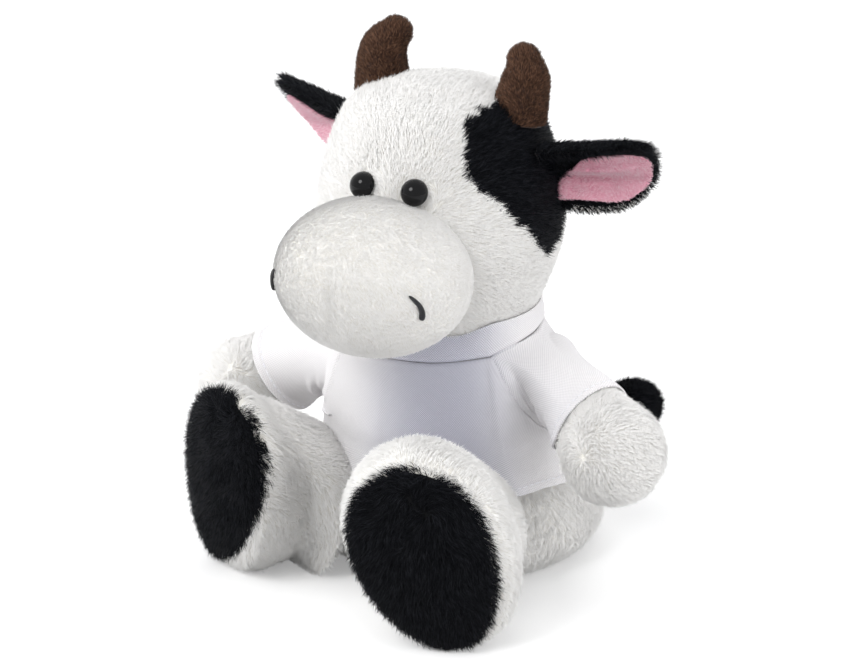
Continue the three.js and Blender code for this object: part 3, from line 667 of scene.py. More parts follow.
def between(bottom, top, left, right, s, t):
    """A grid that fills four edges."""
    s, t = s[None, :, None], t[:, None, None]
    corners = (1 - s) * ((1 - t) * bottom[0] + t * top[0]) + s * ((1 - t) * bottom[-1] + t * top[-1])
    return (1 - t) * bottom[None] + t * top[None] + (1 - s) * left[:, None] + s * right[:, None] - corners


def grid_normals(points, wrap=False):
    if wrap:
        across = np.roll(points, -1, 1) - np.roll(points, 1, 1)
    else:
        across = np.gradient(points, axis=1)
    return unit(np.cross(across, np.gradient(points, axis=0)))


def seam_groove(distance):
    return SEAM["roll"] * hump(distance, 1.5, 0.8) - SEAM["depth"] * hump(distance, 0, SEAM["width"])


def hem_step(distance, width):
    """The doubled cloth beside a hem, and the row of sewing that holds it."""
    return 0.3 / (1 + np.exp((distance - width) * 5)) - 0.3 * hump(distance, width, 0.35)


def from_edge(points, edge):
    return np.linalg.norm(points - edge, axis=-1)


def cloth(name, points, normals, body, node, wrap=False):
    """A closed thin shell behind a grid of points, with a UV map that lays the cloth out flat, in metres."""
    rows, columns = points.shape[:2]
    quads = skin_faces(rows, columns, wrap)
    inner = points - normals * CLOTH
    mesh = shell_mesh(name, points.reshape(-1, 3), inner.reshape(-1, 3), quads)
    middle = points[rows // 2]
    u = run_along(np.concatenate([middle, middle[:1]]))
    rise = np.linalg.norm(np.diff(points, axis=0), axis=-1).mean(1)
    v = np.concatenate([[0], np.cumsum(rise)])
    vertex = np.empty(len(mesh.loops), np.int32)
    mesh.loops.foreach_get("vertex_index", vertex)
    row, column = np.divmod(vertex % (rows * columns), columns)
    if wrap:
        face_of = np.repeat(np.arange(len(mesh.polygons)), 4)
        highest = np.maximum.reduceat(column, np.arange(0, len(vertex), 4))
        crosses = (highest == columns - 1)[face_of] & (column == 0)
        column = np.where(crosses, columns, column)
    flat = np.stack([u[column], v[row]], -1) * MM
    mesh.uv_layers.new(name="cloth").data.foreach_set("uv", flat.astype(np.float32).ravel())
    piece = new_object(name, mesh, knit, body)
    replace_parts(piece, node)
    return piece


def stitches(name, line, normals, body):
    """A row of short stitches along a line on the cloth, as one piece."""
    length, run = STITCH["length"], run_along(line)
    swing = np.linspace(0, math.pi, 6)
    thick = STITCH["radius"] * np.maximum(np.sqrt(np.sin(swing)), 0.05)[:, None]
    points, faces = [], []
    for start in np.arange(0.5, run[-1] - length, STITCH["pitch"]):
        places = start + length * (1 - np.cos(swing)) / 2
        centre = read_line(places, run, line)
        normal = unit(read_line(places, run, normals))
        across = unit(np.cross(np.gradient(centre, axis=0), normal))
        rings = tube(centre + normal * 0.12, across * thick, normal * thick, 6)
        first = sum(len(p) for p in points)
        points.append(rings.reshape(-1, 3))
        faces += (skin_faces(6, 6) + first).tolist()
        faces += [[first + i for i in range(5, -1, -1)], [first + 30 + i for i in range(6)]]
    new_object(name, mesh_of(name, np.concatenate(points), faces), sewing, body)


def make_panel(name, node, left, right, turns, columns, rows):
    """The front or the back of the shirt, between its two side edges."""
    s, t = crowded(columns), crowded(rows)
    start, end = turns
    bottom_turn = lerp(left[0][0], right[0][0], s)
    bottom = np.stack([bottom_turn, hem_height(half_turn(bottom_turn))], -1)
    top_turn = lerp(start, end, s)
    top = np.stack([top_turn, line_height(BAND_LINE, half_turn(top_turn))], -1)
    grid = between(bottom, top, along_line(left, t), along_line(right, t), s, t)
    points = on_shirt(half_turn(grid[..., 0]), grid[..., 1])
    normals = grid_normals(points)
    beside = np.minimum(from_edge(points, points[:, :1]), from_edge(points, points[:, -1:]))
    above = from_edge(points, points[-1:])
    below = from_edge(points, points[:1])
    pucker = 0.22 * np.sin(grid[..., 1:].sum(-1) * 0.9) * np.exp(-beside / 4) * (above > 2)
    width = TURNED_UP["body"]
    offset = seam_groove(beside) + seam_groove(above) + pucker + hem_step(below, width)
    points = points + normals * offset[..., None]
    piece = cloth(name, points, normals, "torso", node)
    row = int(np.argmin(np.abs(below[:, columns // 2] - width)))
    stitches(f"{name}_stitches", points[row, 6:-6], normals[row, 6:-6], "torso")


def make_shirt_body():
    left, right = RAGLAN["left"], RAGLAN["right"]
    seam = {"left": 95, "right": -95}
    side_left = (seam["left"], float(hem_height(seam["left"])))
    side_right = (seam["right"], float(hem_height(seam["right"])))
    make_panel("shirt_front_cloth", "shirt_front", [side_right, *right["front"]], [side_left, *left["front"]],
               (right["front"][-1][0], left["front"][-1][0]), 170, 90)
    beyond = [(turn + 360, height) for turn, height in [side_right, *right["back"]]]
    make_panel("shirt_back_cloth", "shirt_back", [side_left, *left["back"]], beyond,
               (left["back"][-1][0], right["back"][-1][0] + 360), 150, 80)


def make_band():
    """The neck band, which stands up round the neck to just under the head."""
    count = 240
    turn = np.linspace(-180, 180, count, endpoint=False)
    bottom = line_height(BAND_LINE, turn)
    side = eased(np.clip((np.abs(turn - HEAD_TURN) - 35) / 25, 0, 1))
    top = lerp(97.3, 101.6, side)
    share = crowded(26)[:, None]
    height = lerp(bottom[None], top[None], share)
    foot = np.linalg.norm((on_shirt(turn, bottom) - torso_middle(bottom))[:, :2], axis=1)
    radius = lerp(foot[None], lerp(34.6, 37.9, side)[None], share**1.3) + 0.5 * np.sin(share * math.pi)
    angle = np.radians(turn)[None]
    points = np.stack([radius * np.sin(angle), -NECK_LEAN - radius * np.cos(angle), height], -1)
    normals = grid_normals(points, wrap=True)
    below = from_edge(points, points[:1])
    points = points + normals * (seam_groove(below) + 0.12 * ripple(points, 9, 5))[..., None]
    piece = cloth("shirt_neck_band", points, normals, "torso", "shirt_collar", wrap=True)


arm_outline = curve([
    *arc(ARM["ball"], 180, 80, 6), (ARM["waist"], 0.3 * ARM["reach"]),
    (lerp(ARM["waist"], ARM["hand"], 0.4), 0.55 * ARM["reach"]), *arc(ARM["hand"], 115, 0, 8, ARM["reach"]),
], 70)
# Where a sleeve's hem lies along the arm in the middle, how much further out in front and on top, how much
# further in underneath, and how loose it hangs
HEM_OUT = {
    "left": {"middle": 36, "front": 5, "top": 0, "under": 8, "loose": 1},
    "right": {"middle": 37, "front": 5.5, "top": 2, "under": 0, "loose": 2.2},
}


def arm_radius(along):
    return np.interp(along, arm_outline[:, 1], arm_outline[:, 0])


def round_arm(side, angle):
    """Directions round an arm, 0 on top and positive in front."""
    out = arm_frame(side)[1]
    upright = unit(UP - (UP @ out) * out)
    aside = unit(np.cross(out, UP))
    if aside @ FORWARD < 0:
        aside = -aside
    return np.cos(angle)[:, None] * upright + np.sin(angle)[:, None] * aside


def hem_reach(side, angle):
    at = HEM_OUT[side]
    under = np.clip(-np.cos(angle), 0, 1)
    return at["middle"] + at["front"] * np.sin(angle) + at["top"] * np.cos(angle) - at["under"] * under


def past_hem(side, points, slack):
    """Which points lie beyond the sleeve's hem along the arm."""
    pivot, out = arm_frame(side)
    up, aside = round_arm(side, np.array([0, math.pi / 2]))
    angle = np.arctan2((points - pivot) @ aside, (points - pivot) @ up)
    return (points - pivot) @ out > hem_reach(side, angle) + slack


def sleeve_grid(side):
    """A raglan sleeve from the armpit's loop on the body to its hem: rows along the arm, columns round it."""
    sign = SIDES[side]
    pivot, out = arm_frame(side)
    seams = RAGLAN[side]
    front, back = np.array(seams["front"], float), np.array(seams["back"], float)[::-1]
    over = [(t, h) for t, h in (BAND_LINE if sign > 0 else BAND_LINE[::-1])
            if abs(front[-1, 0]) < abs(t) < abs(back[0, 0]) and t * sign > 0]
    shares = crowded(60)
    neck = along_line([front[-1], *over, back[0]], shares, False)
    loop = np.concatenate([along_line(front, shares), neck[1:], along_line(back, shares)[1:-1]])
    start = on_shirt(loop[:, 0], loop[:, 1])
    run = run_along(start)
    share = run / (run[-1] + np.linalg.norm(start[-1] - start[0]))
    angle = math.pi * (1 - 2 * share)
    around = round_arm(side, angle)
    along = hem_reach(side, angle)[:, None]
    loose = HEM_OUT[side]["loose"] * (1 - np.cos(angle[:, None])) / 2
    hem = pivot + out * along + around * (arm_radius(along) + 0.4 + loose)
    root = pivot + out * 7 + around * (SLEEVE["root"] - 0.7 * np.clip(np.cos(angle[:, None]), 0, 1))
    outward = unit(start - torso_middle(start[:, 2]) * [1, 1, 0] - np.outer(start[:, 2], UP))
    towards = unit(root - start)
    towards = unit(towards - 0.8 * dot(towards, outward)[:, None] * outward)
    reach = np.linalg.norm(hem - start, axis=1)[:, None]
    flare = unit(out + 0.1 * around)
    t = crowded(70)[:, None, None]
    a, b = start + towards * reach * 0.35, hem - flare * reach * 0.38
    points = start * (1 - t) ** 3 + 3 * a * t * (1 - t) ** 2 + 3 * b * t**2 * (1 - t) + hem * t**3
    return points, share, t[:, 0, 0]


def clear_of(points, pivot, out):
    """Cloth points pushed out of the torso and off the arm."""
    middle = torso_middle(points[..., 2])
    away = (points - middle)[..., :2]
    radius = np.linalg.norm(away, axis=-1)
    least = torso_radius(np.clip(points[..., 2], 0, 95)) + 1.0
    push = np.clip(least - radius, 0, None) / np.maximum(radius, 1)
    points = points.copy()
    points[..., :2] += away * push[..., None]
    rel = points - pivot
    along = np.clip(rel @ out, 0, None)
    off = rel - along[..., None] * out
    distance = np.linalg.norm(off, axis=-1)
    least = np.where(rel @ out > -20, arm_radius(along) + 0.4, 0)
    points += off * (np.clip(least - distance, 0, None) / np.maximum(distance, 1))[..., None]
    return points


def make_sleeves():
    for side, sign in SIDES.items():
        pivot, out = arm_frame(side)
        points, share, t = sleeve_grid(side)
        loosened = 0.5 * (np.clip((t - 0.03) / 0.15, 0, 1) * np.clip((1 - t) / 0.1, 0, 1))[:, None, None]
        for _ in range(60):
            points = lerp(points, (np.roll(points, 1, 1) + np.roll(points, -1, 1)) / 2, loosened)
        points = clear_of(points, pivot, out)
        normals = grid_normals(points, wrap=True)
        if (normals[40, 60] @ UP) < 0:
            normals = -normals
        inside = from_edge(points, points[:1])
        hem = from_edge(points, points[-1:])
        pucker = 0.15 * np.sin(share[None] * 95) * np.exp(-inside / 5)
        down, across = t[:, None] + 0.5 * (share[None] - 0.15), share[None]
        folds = 1.2 * hump(down, 0.17, 0.06) - 1.3 * hump(down, 0.28, 0.06)
        folds = folds * hump(across, 0.19, 0.09)
        second = 1.5 * hump(down, 0.52, 0.05) - 1.1 * hump(down, 0.44, 0.045)
        folds = folds + second * hump(across, 0.14, 0.08)
        crumple = 0.5 * ripple(points, 13, 200 + sign)
        folds = folds + crumple * np.clip(inside / 8, 0, 1) * np.clip(hem / 8, 0, 1)
        width = TURNED_UP["sleeve"]
        points = points + normals * (seam_groove(inside) + pucker + folds + hem_step(hem, width))[..., None]
        piece = cloth(f"shirt_sleeve_{side}", points, normals, None, f"sleeve_{side}", wrap=True)
        row = int(np.argmin(np.abs(hem[:, 90] - width)))
        stitches(f"sleeve_stitches_{side}", points[row], normals[row], f"{side}_arm")
        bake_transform(piece)


# Head

head_outline = curve(HEAD, 70)
patch_edge = curve([*PATCH, PATCH[0]], 90)
FACE = np.array([0, -52, 128])  # the fur of the face lies away from here
EYE_CORNER = np.array([0.8, 0.3, -0.5])  # on this side of each eye the fur lies over its edge
MUZZLE_COMB = np.array([0.394, 0.57, 0.724])  # the fur of the muzzle lies round this line


def head_radius(height):
    return np.interp(height, head_outline[:, 1], head_outline[:, 0])


def head_rings(under, columns=RING, rows=70):
    return inset(revolve(curve(HEAD, rows), np.zeros(3), UP, columns), under)


def in_patch(points):
    """Which points of the head's own frame lie in the black patch."""
    turn = np.degrees(np.arctan2(points[:, 0], -points[:, 1]))
    height = points[:, 2]
    inside = np.zeros(len(points), bool)
    x, y = patch_edge[:, 0], patch_edge[:, 1]
    for x0, y0, x1, y1 in zip(x[:-1], y[:-1], x[1:], y[1:]):
        crosses = (y0 > height) != (y1 > height)
        if y0 != y1:
            inside ^= crosses & (turn < (x1 - x0) * (height - y0) / (y1 - y0) + x0)
    return inside


def outside_head(points):
    return np.hypot(points[:, 0], points[:, 1]) > head_radius(points[:, 2]) - 3


def outside_muzzle(points):
    size = np.array(MUZZLE["size"]) / 2 - 2.5
    return (((points - np.array(MUZZLE["centre"])) / size) ** 2).sum(-1) >= 1


def make_head():
    rings = head_rings(UNDER)
    padded_skin("head_plush", to_head(rings), white_backing, "head", "head_skin")
    inner = [(max(r - SKIN - 1, 0.01), min(h, 181)) for r, h in head_outline if h > 99]
    filling = to_head(revolve(inner, np.zeros(3), UP))
    padded_skin("head_stuffing", filling, fibre, "head", "head_filling")

    roots, normals = roots_on(rings, DENSITY["head"], outside_muzzle)
    black = in_patch(roots + 1.3 * wander(roots, 3.5, 40))
    eyes = [eye_place(sign)[0] for sign in SIDES.values()]
    gap = np.min([np.linalg.norm(roots - e, axis=1) for e in eyes], 0)
    white = ~black & (gap > EYE["radius"] - 0.9)
    roots, normals, gap = roots[white], normals[white], gap[white]
    lay = unit(roots - FACE) + np.array([0, 0.5, -0.25]) + 0.35 * wander(roots, 14, 21)
    for eye in eyes:
        away = unit(roots - eye)
        under = hump(np.linalg.norm(roots - eye, axis=1), EYE["radius"], 3.5)
        under = under * np.clip(away @ EYE_CORNER, 0, 1)
        lay -= 2.5 * under[:, None] * away
    short = 1 - 0.3 * hump(gap, EYE["radius"], 3)
    head_hair("head_fur", "head", "white", roots, normals, lay, short)

    fine = head_rings(UNDER - 0.2, 240, 150)
    deep = inset(fine, 1.2)
    quads = skin_faces(*fine.shape[:2])
    points = fine.reshape(-1, 3)
    chosen = quads[in_patch(points[quads].mean(1))]
    mesh = shell_mesh("patch_plush", to_head(points), to_head(deep.reshape(-1, 3)), chosen)
    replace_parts(new_object("patch_plush", mesh, black_backing, "head"), "head_patch")
    roots, normals = roots_on(fine, DENSITY["patch"], outside_muzzle)
    black = in_patch(roots + 1.3 * wander(roots, 3.5, 40))
    roots, normals = roots[black], normals[black]
    lay = unit(roots - FACE) + np.array([0, 0.5, -0.5]) + 0.45 * wander(roots, 9, 61)
    head_hair("patch_fur", "head", "black", roots, normals, lay, 0.85)


def muzzle_rings():
    """The muzzle's pillow, with a soft crease down its middle."""
    size, centre = np.array(MUZZLE["size"]) / 2, np.array(MUZZLE["centre"])
    polar = np.linspace(0.02, math.pi - 0.02, 60)
    x, y = circle()
    rings = np.stack([np.outer(np.sin(polar), x), np.outer(np.sin(polar), y),
                      np.outer(np.cos(polar), 0 * x + 1)], -1)
    front = np.clip(-rings[..., 1], 0, 1) * np.clip(1.1 - (rings[..., 2] - 0.1) ** 2 * 1.6, 0, 1)
    rings[..., 1] += 0.06 * hump(rings[..., 0], -0.03, 0.09) * front
    return rings * size + centre


def make_muzzle():
    rings = inset(muzzle_rings(), UNDER_SHORT)
    padded_skin("muzzle_plush", to_head(rings), white_backing, "head", "muzzle")
    roots, normals = roots_on(rings, DENSITY["muzzle"], outside_head)
    lay = np.cross(MUZZLE_COMB, normals) + 0.2 * wander(roots, 12, 31)
    head_hair("muzzle_fur", "head", "short", roots, normals, lay)


def eye_place(sign):
    """The middle of an eye on the head's skin, and the way it looks, in the head's frame."""
    radius = head_radius(EYE["up"])
    turn = math.asin(EYE["spacing"] / 2 / radius)
    place = np.array([sign * radius * math.sin(turn), -radius * math.cos(turn), EYE["up"]])
    return place, unit(place - np.array([0, 0, HEAD_WIDEST]))


def make_eyes():
    gloss, _, surface = shader("eye_gloss", (0.001, 0.001, 0.0015), 0.1, specular=0.18)
    surface.inputs["Coat Weight"].default_value = 0.1
    for side, sign in SIDES.items():
        place, out = eye_place(sign)
        turn = np.linspace(0, math.pi / 2, 24)
        dome = [(max(0.01, EYE["radius"] * math.sin(t)), 0.35 + EYE["bulge"] * math.cos(t)) for t in turn]
        rim = [(EYE["radius"] - 0.5, -0.1), (1.6, -0.1), (1.6, -9), (0.01, -9)]
        mesh = closed_mesh(f"eye_bead_{side}", to_head(revolve(dome + rim, place, out, 64)))
        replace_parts(new_object(f"eye_bead_{side}", mesh, gloss, "head"), f"eye_{side}")


def nostril_line(side):
    """The nostril's middle line on the muzzle, in the head's frame, from its lower end."""
    width, depth, height = MUZZLE["size"]
    along = np.linspace(-1, 1, 60)
    lean = NOSTRIL["lean"] * along / 2 + NOSTRIL["sag"] * (1 - along**2)
    turn = np.radians(SIDES[side] * (NOSTRIL[side] + lean))
    rise = -NOSTRIL["drop"] - along * NOSTRIL["length"] / 2
    level = np.sqrt(1 - (rise / (height / 2)) ** 2)
    middle = np.array(MUZZLE["centre"])
    return middle + np.stack([width / 2 * level * np.sin(turn), -depth / 2 * level * np.cos(turn), rise], -1)


def make_nostrils():
    thread = backing("black_thread", (0.004, 0.004, 0.005), (0.02, 0.02, 0.024), 900, 0.6)
    for side in SIDES:
        line = nostril_line(side)
        out = unit((line - np.array(MUZZLE["centre"])) / (np.array(MUZZLE["size"]) / 2) ** 2)
        along = unit(np.gradient(line, axis=0))
        across = unit(np.cross(along, out))
        share = np.linspace(0, 1, len(line))
        ends = np.sqrt(np.clip(1 - (2 * share - 1) ** 8, 0.02, 1))
        swell = (ends * lerp(0.6, 1.15, share) * (1 + 0.12 * np.sin(share * 2 * math.pi * 22)))[:, None]
        rings = tube(line + out * 0.3, across * 1.05 * swell, out * 0.95 * swell, 16)
        mesh = closed_mesh(f"nostril_stitch_{side}", to_head(rings))
        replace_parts(new_object(f"nostril_stitch_{side}", mesh, thread, "head"), f"nostril_{side}")


def horn_rings(side, under):
    sign, pose = SIDES[side], HORN_POSE[side]
    foot = np.array([sign * pose["side"], pose["back"], 0.0])
    heights = np.arange(186, 150, -1.0)
    foot[2] = heights[np.argmax(head_radius(heights) >= math.hypot(foot[0], foot[1]))]
    path = curve([
        foot + [0, 0, -HORN["base"] / 2],
        foot + [sign * pose["bulge"], pose["lean"] / 3, pose["rise"] / 2],
        foot + [-sign * pose["curl"], pose["lean"], pose["rise"]],
    ], 60)
    run = run_along(path)
    blunt = HORN["tip"] / run[-1]
    end = np.sin(np.linspace(0, math.pi / 2, 12))
    samples = np.concatenate([np.linspace(0, 1 - blunt, 16)[:-1], 1 - blunt * (1 - end)])
    centres = read_line(samples, run / run[-1], path)
    tangents = unit(np.gradient(centres, axis=0))
    straight = np.interp(samples, [0, 0.6, 1 - blunt], [HORN["base"], HORN["shoulder"], HORN["tip"]])
    past = np.clip((samples - 1 + blunt) / blunt, 0, 1)
    radius = np.maximum(straight * np.sqrt(1 - past**2), 0.01)[:, None]
    across = unit(np.cross(tangents, FORWARD))
    return inset(tube(centres, across * radius, np.cross(tangents, across) * radius, 48), under)


def make_horns():
    for side in SIDES:
        rings = horn_rings(side, 0.3)
        piece, node = f"horn_plush_{side}", f"horn_{side}"
        padded_skin(piece, to_head(rings), brown_backing, "head", node)
        roots, normals = roots_on(rings, DENSITY["horn"], outside_head)
        lay = np.array([0, -0.2, 0.9]) + 0.6 * wander(roots, 6, 71)
        head_hair(f"horn_fur_{side}", "head", "brown", roots, normals, lay)


# Ears

def ear_frame(side):
    sign, pose = SIDES[side], EAR_POSE[side]
    lift, sweep = math.radians(pose["lift"]), math.radians(pose["sweep"])
    level = math.cos(lift)
    out = np.array([sign * math.cos(sweep) * level, math.sin(sweep) * level, math.sin(lift)])
    face = turned(turned(FORWARD, UP, sign * pose["sweep"]), out, sign * pose["droop"])
    axis = unit(np.cross(face, out))
    aside = math.sqrt(head_radius(pose["up"]) ** 2 - pose["back"] ** 2) - EAR["ball"] / 3
    return np.array([sign * aside, pose["back"], pose["up"]]), out, face, axis, -np.sign(axis[2])


def leaf_half(along):
    """Half the width of the ear at a share of its length."""
    full = lerp(EAR["root"], 1, np.sin(np.minimum(1, along / 0.55) * math.pi / 2))
    return EAR["half"] * full * np.sqrt(np.maximum(0.0025, 1 - np.maximum(0, (along - 0.5) / 0.5) ** 2.2))


def leaf_rings(side, start, length, front, thickness, shares=(1, 1), belows=(0, 0), fold=0):
    """Rings across a folded leaf, from its front back by a thickness. Its fold is a roll above a valley."""
    pivot, out, face, axis, lower = ear_frame(side)
    around = np.linspace(0, 2 * math.pi, 84, endpoint=False)
    across = np.cos(around)
    depth = thickness / 2 * (1 - np.sign(np.sin(around)) * np.abs(np.sin(around)) ** 0.6)
    rings = []
    for along in 1 - (1 - np.linspace(0, 1, 36)) ** 1.4:
        bend = lerp(*EAR_FOLD[side], along)
        edge = leaf_half(along) / bend
        share, below = spaced(shares, along), spaced(belows, along)
        angle = (share * across + lower * below) * edge
        down = angle * lower
        roll = 1.8 * hump(down, 0.36, 0.14) - 2.3 * hump(down, -0.04, 0.2)
        reach = bend - front + depth + fold * roll * math.sin(min(1, 1.6 - 1.6 * along) * math.pi / 2)
        centre = pivot + out * (start + length * along) + face * (bend - EAR["set"])
        rings.append(centre + np.outer(reach * np.sin(angle), axis) - np.outer(reach * np.cos(angle), face))
    return np.array(rings)


def make_ears():
    for side in SIDES:
        pivot, out, face, axis, lower = ear_frame(side)
        body = f"{side}_ear"
        rings = inset(leaf_rings(side, 0.5, EAR["length"] + 3, 0, EAR["thickness"]), 0.8)
        piece, node = f"ear_plush_{side}", f"ear_{side}"
        padded_skin(piece, to_head(rings), black_backing, body, node)
        thick = LINING["thickness"]
        shares, belows = LINING_AT[side]["share"], LINING_AT[side]["below"]
        front = LINING["gap"] + thick
        inner = leaf_rings(side, LINING["start"], LINING["length"], front, thick, shares, belows, 1)
        piece, node = f"ear_pink_{side}", f"ear_lining_{side}"
        padded_skin(piece, to_head(inner), pink_backing, body, node)

        roots, normals = roots_on(rings, DENSITY["ear"])
        away = roots - pivot
        along = np.clip((away @ out - 0.5) / (EAR["length"] + 3), 0, 1)
        bend = lerp(*EAR_FOLD[side], along)
        deep = away @ face - (bend - EAR["set"])
        angle = np.arctan2(away @ axis, -deep)
        outer = np.hypot(away @ axis, deep) > bend + EAR["thickness"] * 0.4
        edge = leaf_half(along) / bend
        rim = np.abs(angle) > 0.86 * edge
        lined = np.clip((away @ out - LINING["start"]) / LINING["length"], 0, 1)
        share, below = spaced(shares, lined), spaced(belows, lined)
        covered = (np.abs(angle / edge - lower * below) < share - 0.03) & (along < 0.93) & (along > 0.05)
        keep = outer | ~covered
        if side == "right":
            keep &= ~((angle * lower > 0.8 * edge) & (along > 0.3) & ~outer)
        sideways = np.sign(angle)[:, None] * (np.cos(angle)[:, None] * axis + np.sin(angle)[:, None] * face)
        over = np.where(outer, 0.15, -0.1) + 0.6 * rim
        lay = out * 0.9 + sideways * over[:, None] + 0.45 * wander(roots, 9, 81)
        scale = np.where(rim & (angle * lower > 0), 0.6, np.where(rim | (along > 0.9), 1.0, 0.8))
        head_hair(f"ear_fur_{side}", body, "black", roots[keep], normals[keep], lay[keep], scale[keep])
        pale = rim & (angle * lower > 0) & (along > 0.2) & (rng.random(len(roots)) < 0.35)
        head_hair(f"ear_fringe_{side}", body, "white", roots[pale], normals[pale], lay[pale], 0.8)

        roots, normals = roots_on(inner, DENSITY["lining"])
        away = roots - pivot
        along = np.clip((away @ out - 0.5) / (EAR["length"] + 3), 0, 1)
        deep = lerp(*EAR_FOLD[side], along) - EAR["set"]
        centre = pivot + out * (away @ out)[:, None] + face * deep[:, None]
        keep = dot(normals, unit(centre - roots)) > 0
        roots, normals = roots[keep], normals[keep]
        lay = out * 0.9 + 0.5 * wander(roots, 8, 91)
        head_hair(f"ear_pile_{side}", body, "pink", roots, normals, lay)


# Arms

WHORL = (0.08, -0.89, 0.44)  # the fur of each hand lies away from this side of it, mirrored on the left


def arm_frame(side):
    sign = SIDES[side]
    spread, drop = math.radians(ARM["spread"]), math.radians(ARM_DROP[side])
    level = math.cos(drop)
    out = np.array([sign * math.sin(spread) * level, -math.cos(spread) * level, -math.sin(drop)])
    return np.array([sign * SHOULDER[0], SHOULDER[1], SHOULDER[2]], float), out


def make_arms():
    for side, sign in SIDES.items():
        pivot, out = arm_frame(side)
        body = f"{side}_arm"
        rings = inset(revolve(arm_outline, pivot, out), UNDER)
        padded_skin(f"arm_plush_{side}", rings, white_backing, body, f"arm_{side}")
        roots, normals = roots_on(rings, DENSITY["arm"], lambda p: past_hem(side, p, -3))
        whorl = pivot + out * ARM["reach"] + np.array([-sign * WHORL[0], WHORL[1], WHORL[2]]) * ARM["hand"]
        gap = np.linalg.norm(roots - whorl, axis=1)[:, None]
        lay = unit(roots - whorl) * np.minimum(1, gap / 9) + out * 0.35
        lay = lay + (0.4 + np.exp(-gap / 7)) * wander(roots, 6, 101)
        near = 1 - 0.5 * np.clip(1 - ((roots - pivot) @ out - SLEEVE["length"]) / 12, 0, 1)
        hair(f"arm_fur_{side}", body, "white", roots, normals, lay, near)


# Legs

def leg_frame(side):
    sign, pose = SIDES[side], LEG_POSE[side]
    wide = turned(np.array([1.0, 0, 0]), UP, sign * FOOT["toe_out"])
    sole = turned(turned(FORWARD, UP, sign * FOOT["toe_out"]), wide, FOOT["pitch"])
    tall = unit(np.cross(wide, sole))
    if tall[2] < 0:
        tall = -tall
    wide, tall = (turned(v, sole, sign * pose["lean"]) for v in (wide, tall))
    rim = ring(np.zeros(3), wide * FOOT["width"] / 2, tall * pose["height"] / 2, FOOT["taper"])
    pivot = np.array([sign * HIP[0], HIP[1], HIP[2]], float)
    centre = np.array([0, 0, -0.5 - rim[:, 2].min()])
    run = math.sqrt(pose["reach"] ** 2 - (centre[2] - pivot[2]) ** 2)
    centre = centre + turned(FORWARD, UP, sign * pose["spread"]) * run + [pivot[0], pivot[1], 0]
    return pivot, unit(centre - pivot), sole, wide, tall, centre, pose["height"]


def leg_rings(side):
    pivot, out, sole, wide, tall, centre, height = leg_frame(side)
    crown, depth = FOOT["crown"], FOOT["depth"]
    front = [(-crown, 0.001, 0), (-0.86 * crown, 0.4, 0), (-0.5 * crown, 0.7, 0), (0, 0.91, 0),
             (0.09 * depth, 0.98, 0)]
    behind = [(share * depth, size, sag) for share, size, sag in CALF[side]]
    foot = [ring(centre - sole * back - UP * sag, wide * FOOT["width"] / 2 * size, tall * height / 2 * size,
                 FOOT["taper"]) for back, size, sag in front + behind]
    across = unit(wide - (wide @ out) * out)
    along = np.cross(across, out)
    if along @ tall < 0:
        along = -along
    big, forward, sag = THIGH[side]
    hip = [ring(pivot + out * forward * HIP_BALL - UP * sag, across * big * HIP_BALL, along * big * HIP_BALL)]
    hip += [ring(pivot + out * distance, across * radius, along * radius)
            for radius, distance in arc(HIP_BALL, 75, 180, 6)]
    return on_ground(inset(curve([*foot, *hip], 120), UNDER))


def make_legs():
    for side in SIDES:
        _, out, sole, wide, tall, centre, height = leg_frame(side)
        body = f"{side}_leg"
        rings = leg_rings(side)
        padded_skin(f"leg_plush_{side}", rings, white_backing, body, f"leg_{side}")
        at = PAD[side]
        half_wide, half_tall = FOOT["width"] / 2 - at["beside"], height / 2 - at["above"]
        seat = centre + at["aside"] * wide + at["up"] * tall
        wide, tall = (turned(v, sole, at["turn"]) for v in (wide, tall))

        def pad_share(p):
            """How far out a point lies on the sole's pad, 1 at its edge."""
            away = p - seat
            y = away @ tall / half_tall
            x = away @ wide / half_wide / (1 + at["taper"] * y)
            return np.where(away @ sole > -5, np.hypot(x, y), 9)

        pad = [ring(seat + sole * ahead, wide * half_wide * size, tall * half_tall * size, at["taper"])
               for ahead, size in PAD_RINGS]
        pad = on_ground(curve(pad, 24))
        padded_skin(f"sole_plush_{side}", pad, black_backing, body, f"sole_{side}")

        bare = lambda p: (p[:, 2] > 1) & outside_torso(p, -1.5)
        roots, normals = roots_on(rings, DENSITY["leg"], bare)
        white = pad_share(roots + 0.9 * wander(roots, 3, 111)) > 1
        roots, normals = roots[white], normals[white]
        lay = -out * 0.6 + np.array([0, 0, -0.6]) + 0.5 * wander(roots, 12, 121)
        near = np.clip(2.2 - 1.6 * pad_share(roots), 0, 1)[:, None]
        lay = lay * (1 - near) + unit(roots - centre) * near
        hair(f"leg_fur_{side}", body, "white", roots, normals, lay, 1 - 0.3 * near)
        inside = lambda p: (pad_share(p) < 1.05) & (p[:, 2] > 1)
        roots, normals = roots_on(pad, DENSITY["sole"], inside)
        away = (roots - centre - tall * height * 0.22) / height
        lay = away * 2.2 + np.array([0, 0, -0.35]) + 0.55 * wander(roots, 9, 131)
        hair(f"sole_fur_{side}", body, "black", roots, normals, lay, 1.05)


# Tail

